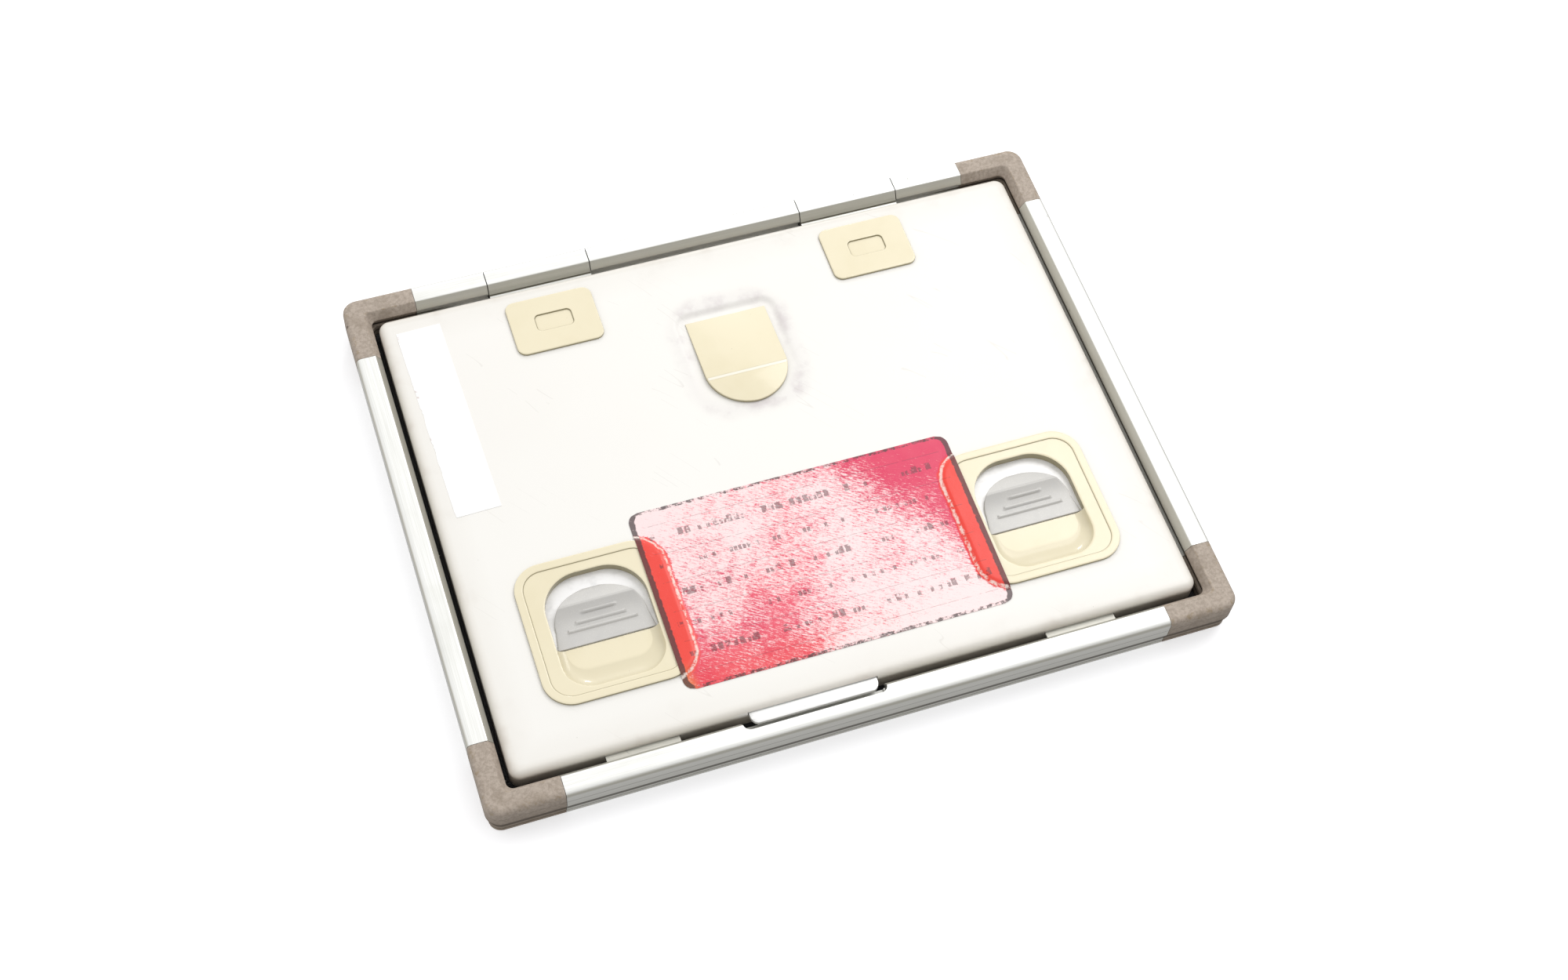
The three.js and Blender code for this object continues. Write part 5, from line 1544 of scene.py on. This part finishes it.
# %% Springs
COILS = 4
COIL_RADIUS = 1.25
WIRE = 0.25
COIL_STEPS = 26
spring_low, spring_high = box_mm("latch_spring_right")
spring_z = (spring_low.z + spring_high.z) / 2
start_y, end_y = spring_low.y + WIRE, spring_high.y - WIRE


def coil_point(turns, out=0.0, along=0.0):
    """A point of the coil after some turns, moved out from the axis and along it."""
    angle = math.tau * turns
    radius = COIL_RADIUS + out
    y = start_y + (end_y - start_y) * turns / COILS + along
    return (radius * math.cos(angle), y, spring_z + radius * math.sin(angle))


for side, sign in LEFT_RIGHT:
    rings = []
    for k in range(COILS * COIL_STEPS + 1):
        around = [math.tau * i / 10 for i in range(10)]
        rings.append([
            coil_point(k / COIL_STEPS, WIRE * math.cos(a), WIRE * math.sin(a)) for a in around
        ])
    points, faces = loft(rings)
    spring = make_piece(
        f"latch_spring_{side}_coil", [(sign * latch_x + x, y, z) for x, y, z in points], faces,
        steel, "lid", [f"latch_spring_{side}"], "steel",
    )
    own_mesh(spring)

# %% [markdown]
# ## Ivory covers
#
# A thin cover hides the rivets of each hinge, with a shallow recess to press on.

# %% Hinge covers
COVER = {"half_x": 16.5, "half_y": 12.0, "radius": 3.5, "shift": 0.0}
COVER_THICK, COVER_ROUND = 0.95, 0.4
POCKET = {"half_x": 7.0, "half_y": 3.65, "radius": 1.8, "shift": -0.4}
POCKET_DEPTH = 0.5


def plan_loop(x, plan, grow, z):
    """The outline of a cover or of its recess at height z, wider by grow on every side."""
    middle = rivet_y - plan["shift"]
    outline = rounded_rect(
        x - plan["half_x"] - grow, x + plan["half_x"] + grow,
        middle - plan["half_y"] - grow, middle + plan["half_y"] + grow,
        plan["radius"] + grow,
    )
    return [(px, py, z) for px, py in outline]


cover_top = lid_top + COVER_THICK
floor = cover_top - POCKET_DEPTH
cover_levels = [(0.0, lid_top + 0.01), (0.0, cover_top - COVER_ROUND)]
for angle in (0.4, 0.8, 1.2, math.pi / 2):
    inset = COVER_ROUND * (1 - math.cos(angle))
    cover_levels.append((-inset, cover_top - COVER_ROUND * (1 - math.sin(angle))))
cover_levels.append((-0.8, cover_top))
pocket_levels = [(0.5, cover_top), (0.2, cover_top), (0.05, cover_top - 0.06)]
pocket_levels += [(0.0, cover_top - 0.15), (0.0, floor + 0.1), (-0.1, floor), (-0.4, floor)]
# Edge values per level: negative ones paint shade on the cover's side wall and the pocket's wall, 1
# marks wear on the top edge.
edge_of_level = (-1, -0.9, -0.6, 0, 1, 1, 0, 0, -0.3, -0.7, -0.9, -1, -0.7, 0)
for side, sign in LEFT_RIGHT:
    x = sign * knuckle_x
    levels = [plan_loop(x, COVER, grow, z) for grow, z in cover_levels]
    levels += [plan_loop(x, POCKET, grow, z) for grow, z in pocket_levels]
    points, faces = loft(levels)
    make_piece(
        f"hinge_cover_{side}_moulded", points, faces, ivory_plastic, "lid",
        [f"hinge_cover_{side}"], "ivory_plastic",
        [float(edge) for loop, edge in zip(levels, edge_of_level) for _ in loop],
    )
print("hinge covers at", round(knuckle_x, 1), round(rivet_y, 1))

# %% [markdown]
# The centre piece is a tongue-shaped moulding that sits in the lid's hollow: it rises to a crease
# and its side wall gets taller towards the round tip. Its crease is softened with a smooth minimum
# of two slopes.

# %% Centre piece
TAB = {"half": 15.7, "head": 62.9, "crease": 35.6, "tip": 22.3}
TAB_RISE = {"head": -0.5, "crease": 1.5, "tip": 1.2}
TAB_FILLET = 0.35
CREASE_SOFTNESS = 0.25


def tab_height(y):
    """Two slopes that meet in a crease, blended over a short distance."""
    rise = (TAB_RISE["crease"] - TAB_RISE["head"]) / (TAB["head"] - TAB["crease"])
    back = TAB_RISE["head"] + rise * (TAB["head"] - y)
    fall = (TAB_RISE["crease"] - TAB_RISE["tip"]) / (TAB["crease"] - TAB["tip"])
    front = TAB_RISE["tip"] + fall * (y - TAB["tip"])
    gap = max(CREASE_SOFTNESS - abs(back - front), 0.0) / CREASE_SOFTNESS
    return lid_top + min(back, front) - gap * gap * CREASE_SOFTNESS / 4


def tab_floor(x, y):
    """The floor of the lid's hollow, with a hair of room under the piece."""
    return lid_top - hollow_floor(x, y) + 0.1


bend_y = TAB["tip"] + TAB["half"]
rows = [(y, TAB["half"]) for y in spread(TAB["head"] - TAB_FILLET, bend_y, 0.6)]
for angle in spread(0, 88.5, 1.6)[1:]:
    turn = math.radians(angle)
    rows.append((bend_y - (TAB["half"] - TAB_FILLET) * math.sin(turn), TAB["half"] * math.cos(turn)))
grid = []
for y, half in rows:
    half = max(0.25, half - TAB_FILLET)
    grid.append([(x, y, tab_height(y)) for x in spread(half, -half, half / 16)])
skirt = [(0.13, 0.03), (0.25, 0.1), (0.32, 0.22), (TAB_FILLET, 0.33), (TAB_FILLET, None)]
points, faces = skirted(grid, skirt, tab_floor)
top_points = len(grid) * len(grid[0])
rim_points = len(points) - 2 * top_points
level_points = rim_points // len(skirt)
# Edge values: 2 along the crease paints a highlight there, 1 marks wear on the top fillet, and the
# negative values paint shade on the side wall and underside.
edges = [2.0 * smooth(-abs(p[1] - TAB["crease"]), -1.5, -0.2) for p in points[:top_points]]
edges += [1.0] * 2 * level_points
edges += [-0.5] * (rim_points - 3 * level_points) + [-1.0] * (level_points + top_points)
make_piece(
    "centre_tab_moulded", points, faces, ivory_plastic, "lid", ["centre_tab"],
    "ivory_plastic", edges,
)
print("centre piece:", len(points), "points")

# %% [markdown]
# ## Lift tongue
#
# A bright strip of sheet reaches from under the lid into the notch of the front rail, where a
# finger lifts the lid with it. It steps down under the sheet, and its two front corners are round.

# %% Lift tongue
TONGUE = {"x0": -42.25, "x1": 3.85, "tip": -99.4, "bend": -92.8, "hold": -82.8, "radius": 3.2}
TONGUE_TOP, TONGUE_UNDER, TONGUE_STEP = 13.2, 11.9, 0.6


def tongue_lift(y):
    """Rise of the tongue at y, from its outer end to where it is held under the sheet."""
    return TONGUE_STEP * smooth(y, TONGUE["bend"] - TONGUE_STEP, TONGUE["bend"] + TONGUE_STEP)


rows = []
for y in spread(TONGUE["tip"] + 0.3, TONGUE["hold"], 0.5):
    cut_in = 0.0
    from_tip = y - TONGUE["tip"]
    if from_tip < TONGUE["radius"]:
        radius = TONGUE["radius"]
        cut_in = radius - math.sqrt(radius**2 - (radius - from_tip) ** 2)
    rows.append([
        (x, y, TONGUE_TOP + tongue_lift(y))
        for x in spread(TONGUE["x0"] + cut_in + 0.3, TONGUE["x1"] - cut_in - 0.3, 1.0)
    ])
widest = max(len(row) for row in rows)
rows = [
    [(x, row[0][1], row[0][2]) for x in spread(row[0][0], row[-1][0], (row[-1][0] - row[0][0]) / widest)]
    for row in rows
]
skirt = [(0.2, 0.06), (0.3, 0.3), (0.3, None)]
points, faces = skirted(rows, skirt, lambda x, y: TONGUE_UNDER + tongue_lift(y))
make_piece(
    "lift_tongue_sheet", points, faces, bright_sheet, "lid", ["lift_tongue"], "bright_aluminium"
)
print("tongue:", len(points), "points")

# %% [markdown]
# ## Form label
#
# A printed foil label is stuck across the lid and over the inner rims of both bezels, after years
# of use rubbed half bare. The foil is drawn as a sheet that follows the height of what lies under
# it, with small crinkles, and it keeps the round outline of the bezels as a soft ridge.

# %% Label sheet
LABEL = {"half": 60.3, "y0": -82.0, "y1": -10.5, "radius": 4.0, "sheet": 0.2}
BEZEL_EDGE = latch_x - FLANGE["half"]
DRAPE = 1.9
CRINKLE = 0.06


def label_under(x, y):
    """Height of the label's underside: on the lid, or draped over a bezel's rim."""
    beyond = rect_distance(
        abs(x), y, BEZEL_EDGE, BEZEL_EDGE + 2 * FLANGE["half"],
        lid_front + FLANGE["front"], lid_front + FLANGE["rear"], FLANGE["radius"],
    )
    return lid_top + 0.02 + (RIM_Z - lid_top) * smooth(-beyond, -DRAPE, 0.1)


def label_top(x, y):
    """Height of the label's upper side, with small crinkles."""
    spot = Vector((x, y, 0))
    wave = noise.noise(spot * 0.16) + 0.5 * noise.noise(spot * 0.5)
    return label_under(x, y) + LABEL["sheet"] + CRINKLE * smooth(wave, -0.4, 0.9)


grid = []
for y in spread(LABEL["y0"], LABEL["y1"], 0.8):
    to_end = min(y - LABEL["y0"], LABEL["y1"] - y)
    cut_in = 0.0
    radius = LABEL["radius"]
    if to_end < radius:
        cut_in = radius - math.sqrt(radius**2 - (radius - to_end) ** 2)
    half = LABEL["half"] - cut_in
    grid.append([(x, y, label_top(x, y)) for x in spread(-half, half, half / 75)])
label_points, label_faces = skirted(grid, [(0.0, None)], label_under)
print("label:", len(label_points), "points")

# %% [markdown]
# The form on the label is made of rows of short dashes. Each row is cut into cells, and a random
# value for each cell says whether its dash is printed.

# %% Rows of dashes
dashes, net, given, put = new_group(
    "dashes",
    {"Vector": "Vector", "Pitch": "Float", "Height": "Float", "Length": "Float", "Share": "Float"},
    {"Mask": "Float"},
)
u, v = net.split(given["Vector"])[:2]
row = net.over(v, given["Pitch"])
in_row = net.below(net.fraction(row), given["Height"])
step_along = net.over(u, given["Length"])
cell = net.node("ShaderNodeCombineXYZ", {
    "X": net.math("FLOOR", step_along), "Y": net.math("FLOOR", row),
}).outputs[0]
pick = net.node("ShaderNodeTexWhiteNoise", {"Vector": cell}, noise_dimensions="3D").outputs["Value"]
printed = net.below(pick, given["Share"])
inked = net.below(net.fraction(step_along), 0.72)
put("Mask", net.times(in_row, net.times(printed, inked)))
print("label group:", dashes.name)

# %% [markdown]
# The print on the label is a warm red that has faded to pink, with a thin dark border round the
# form. Rubbing has taken the ink off in fine streaks down to the silvery foil, most where hands
# pass, least along the strips that lie in the lee of the rims. Distances to rounded rectangles give
# the border, and a painted highlight along the ridges over the bezels.

# %% Label finish
LABEL_MIDDLE_Y = (LABEL["y0"] + LABEL["y1"]) / 2
LABEL_HALF_Y = (LABEL["y1"] - LABEL["y0"]) / 2
BEZEL_MIDDLE_Y = lid_front + (FLANGE["front"] + FLANGE["rear"]) / 2
BEZEL_HALF_Y = (FLANGE["rear"] - FLANGE["front"]) / 2
RED, PINK, HOT = colour(236, 56, 40), colour(232, 80, 104), colour(218, 30, 84)
FOIL = colour(250, 238, 236)
WEAR_TWIST = 55.0
ROW_PITCH = 0.0118

label_foil, net, place, put = new_finish("label_foil", Coat_Weight=0.25, Coat_Roughness=0.25)
x, y = net.split(place)[:2]
outline = net.use(
    rect_edge, Vector=net.vector("MULTIPLY", place, (1, 1, 0)),
    Middle=(0, LABEL_MIDDLE_Y * MM, 0),
    Half=(LABEL["half"] * MM, LABEL_HALF_Y * MM, 0), Radius=LABEL["radius"] * MM,
)["Distance"]
mirrored = net.node("ShaderNodeCombineXYZ", {"X": net.absolute(x), "Y": y}).outputs[0]
over_rim = net.use(
    rect_edge, Vector=mirrored, Middle=(latch_x * MM, BEZEL_MIDDLE_Y * MM, 0),
    Half=(FLANGE["half"] * MM, BEZEL_HALF_Y * MM, 0), Radius=FLANGE["radius"] * MM,
)["Distance"]
strip_wobble = net.times(net.noise(place, 260.0, 5.0, 0.75), 3.4 * MM)
on_bezel = net.ramp(net.plus(over_rim, strip_wobble), 3.2 * MM, 4.6 * MM, 1.0, 0.0)

corner_tint = net.ramp(net.plus(x, net.times(y, 0.6)), 0.0, 0.03)
ink = net.mix(net.use(blotches, Vector=place, Scale=38.0, Low=0.35, High=0.65)["Mask"], PINK, HOT)
ink = net.mix(net.times(corner_tint, 0.6), ink, HOT)
front_tint = net.ramp(y, -0.082, -0.062, 0.5, 0.0)
ink = net.mix(front_tint, ink, RED)
ink = net.mix(on_bezel, ink, RED)
yellow_x = net.ramp(x, -0.0605, -0.054, 1.0, 0.0)
yellow = net.times(yellow_x, net.ramp(y, -0.082, -0.07, 1.0, 0.0))
ink = net.tint(ink, yellow, 0.8, (238, 160, 60))

slanted = net.node(
    "ShaderNodeVectorRotate", {"Vector": place, "Angle": 0.55}, rotation_type="Z_AXIS"
).outputs[0]
streaks = net.noise(net.vector("MULTIPLY", slanted, (300.0, 2000.0, 0.0)), 1.0, 6.0, 0.8)
crumbs = net.noise(place, 1100.0, 6.0, 0.85)
patches = net.noise(place, 30.0, 3.0, 0.6)
across = net.times(x, net.plus(y, -LABEL_MIDDLE_Y * MM))
wear_place = net.times(across, -WEAR_TWIST)
wear = net.plus(net.times(streaks, 0.68), net.times(crumbs, 0.32))
wear = net.plus(wear, net.times(patches, 0.28))
wear = net.plus(wear, wear_place)
wear = net.minus(wear, net.times(on_bezel, 0.2))
wear = net.minus(wear, net.times(corner_tint, 0.11))
bare = net.ramp(wear, 0.555, 0.675)

bleed = net.vector("MULTIPLY", net.noise(place, 1500.0, 3.0, 0.7), (0.0011, -0.0009, 0.0))
spread_ink = net.vector("ADD", place, bleed)
rows = net.use(
    dashes, Vector=spread_ink, Pitch=ROW_PITCH, Height=0.15, Length=0.0016, Share=0.32
)["Mask"]
broad = net.use(
    dashes, Vector=spread_ink, Pitch=2 * ROW_PITCH, Height=0.12, Length=0.0026, Share=0.26
)["Mask"]
rule_rows = net.fraction(net.over(y, ROW_PITCH))
rules = net.below(net.absolute(net.minus(rule_rows, 0.55)), 0.012)
form = net.larger(net.larger(rows, broad), net.times(rules, 0.5))
form = net.times(form, net.below(outline, -4.5 * MM))
form = net.times(form, net.ramp(net.noise(place, 420.0, 4.0, 0.7), 0.38, 0.5))
border_wobble = net.times(net.noise(place, 500.0, 3.0, 0.7), 1.6 * MM)
at_ends = net.ramp(net.absolute(x), 0.056, 0.0585, -0.35 * MM, 0.5 * MM)
border = net.plus(net.plus(outline, border_wobble), at_ends)
border = net.ramp(border, -0.75 * MM, -0.4 * MM)
whole = net.plus(net.noise(place, 500.0, 5.0, 0.8), net.times(at_ends, 200.0))
border = net.times(border, net.ramp(whole, 0.36, 0.5))

# A painted highlight: a light line along the ridge where the foil lies over each bezel's rim.
crease_wobble = net.times(net.noise(place, 380.0, 3.0, 0.6), 1.4 * MM)
shifted = net.plus(over_rim, net.minus(crease_wobble, 1.9 * MM))
crease = net.ramp(net.absolute(shifted), 0.2 * MM, 0.8 * MM, 1.0, 0.0)
crease = net.times(crease, net.ramp(net.noise(place, 420.0, 5.0, 0.75), 0.4, 0.55))

shade = net.mix(net.times(bare, 0.84), ink, FOIL)
shade = net.tint(shade, form, 0.62, (72, 26, 38))
shade = net.tint(shade, border, 0.85, (34, 24, 26))
put("Base Color", net.tint(shade, crease, 0.8, (250, 236, 226)))
put("Metallic", net.times(bare, 0.15))
put("Roughness", net.ramp(bare, 0.0, 1.0, 0.34, 0.5))
put("Normal", net.bump(net.plus(crumbs, net.times(streaks, 0.8)), 0.4, 0.12))
make_piece(
    "form_label_foil", label_points, label_faces, label_foil, "lid", ["form_label"], "label_foil"
)
print("label finish ready")

# %% [markdown]
# ## Blank label
#
# A plain white sticker sits at the hinge end. Its outer edge has torn when an older one was
# peeled off, and a little rust-coloured glue shows there, so that edge wanders and is stained.

# %% Blank label
BLANK = {"half_x": 8.25, "half_y": 41.0, "x": -110.2, "y": 47.0, "turn": 1.3}
TEAR = 0.6
label_paper, net, place, put = new_finish("label_paper", Roughness=0.55)
edge = net.stored_edge()
fibres = net.noise(place, 1500.0, 3.0, 0.6)
spots = net.use(blotches, Vector=place, Scale=120.0, Low=0.6, High=0.68)["Mask"]
paper = net.mix(net.ramp(fibres, 0.3, 0.7), colour(250, 250, 249), colour(255, 255, 254))
put("Base Color", net.mix(net.times(edge, spots), paper, colour(150, 92, 66)))
put("Normal", net.bump(fibres, 0.15, 0.03))

blank_low, blank_high = box_mm("blank_label")
grid = []
for y in spread(-BLANK["half_y"], BLANK["half_y"], 0.5):
    torn = smooth(noise.noise(Vector((0.0, y * 0.13, 3.0))), 0.0, 0.3)
    ragged = TEAR * torn * (0.5 + 0.5 * noise.noise(Vector((7.0, y * 0.9, 0.0))))
    row = spread(-BLANK["half_x"] + ragged, BLANK["half_x"], 1.1)
    grid.append([(x, y, blank_high.z) for x in row])
fewest = min(len(row) for row in grid)
grid = [
    [
        (row[0][0] + (row[-1][0] - row[0][0]) * k / (fewest - 1), row[0][1], row[0][2])
        for k in range(fewest)
    ]
    for row in grid
]
points, faces = skirted(grid, [(0.0, None)], lambda x, y: blank_low.z + 0.01)
edges = [smooth(-x, BLANK["half_x"] - 1.2, BLANK["half_x"] - 0.7) for x, _, _ in points]
make_piece(
    "blank_label_paper", turned(points, BLANK["turn"], BLANK["x"], BLANK["y"]), faces,
    label_paper, "lid", ["blank_label"], "label_paper", edges,
)
print("blank label:", len(points), "points")

# %% [markdown]
# ## Sizes and finish
#
# The fine meshes must fill the same box as the model that they stand for. Both boxes are printed
# so that they can be compared.

# %% Sizes
shown_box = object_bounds()
size = {
    "cad_box": [[round(v, 6) for v in corner] for corner in cad_box],
    "visual_box": [[round(v, 6) for v in corner] for corner in shown_box],
}
print("size:", size)
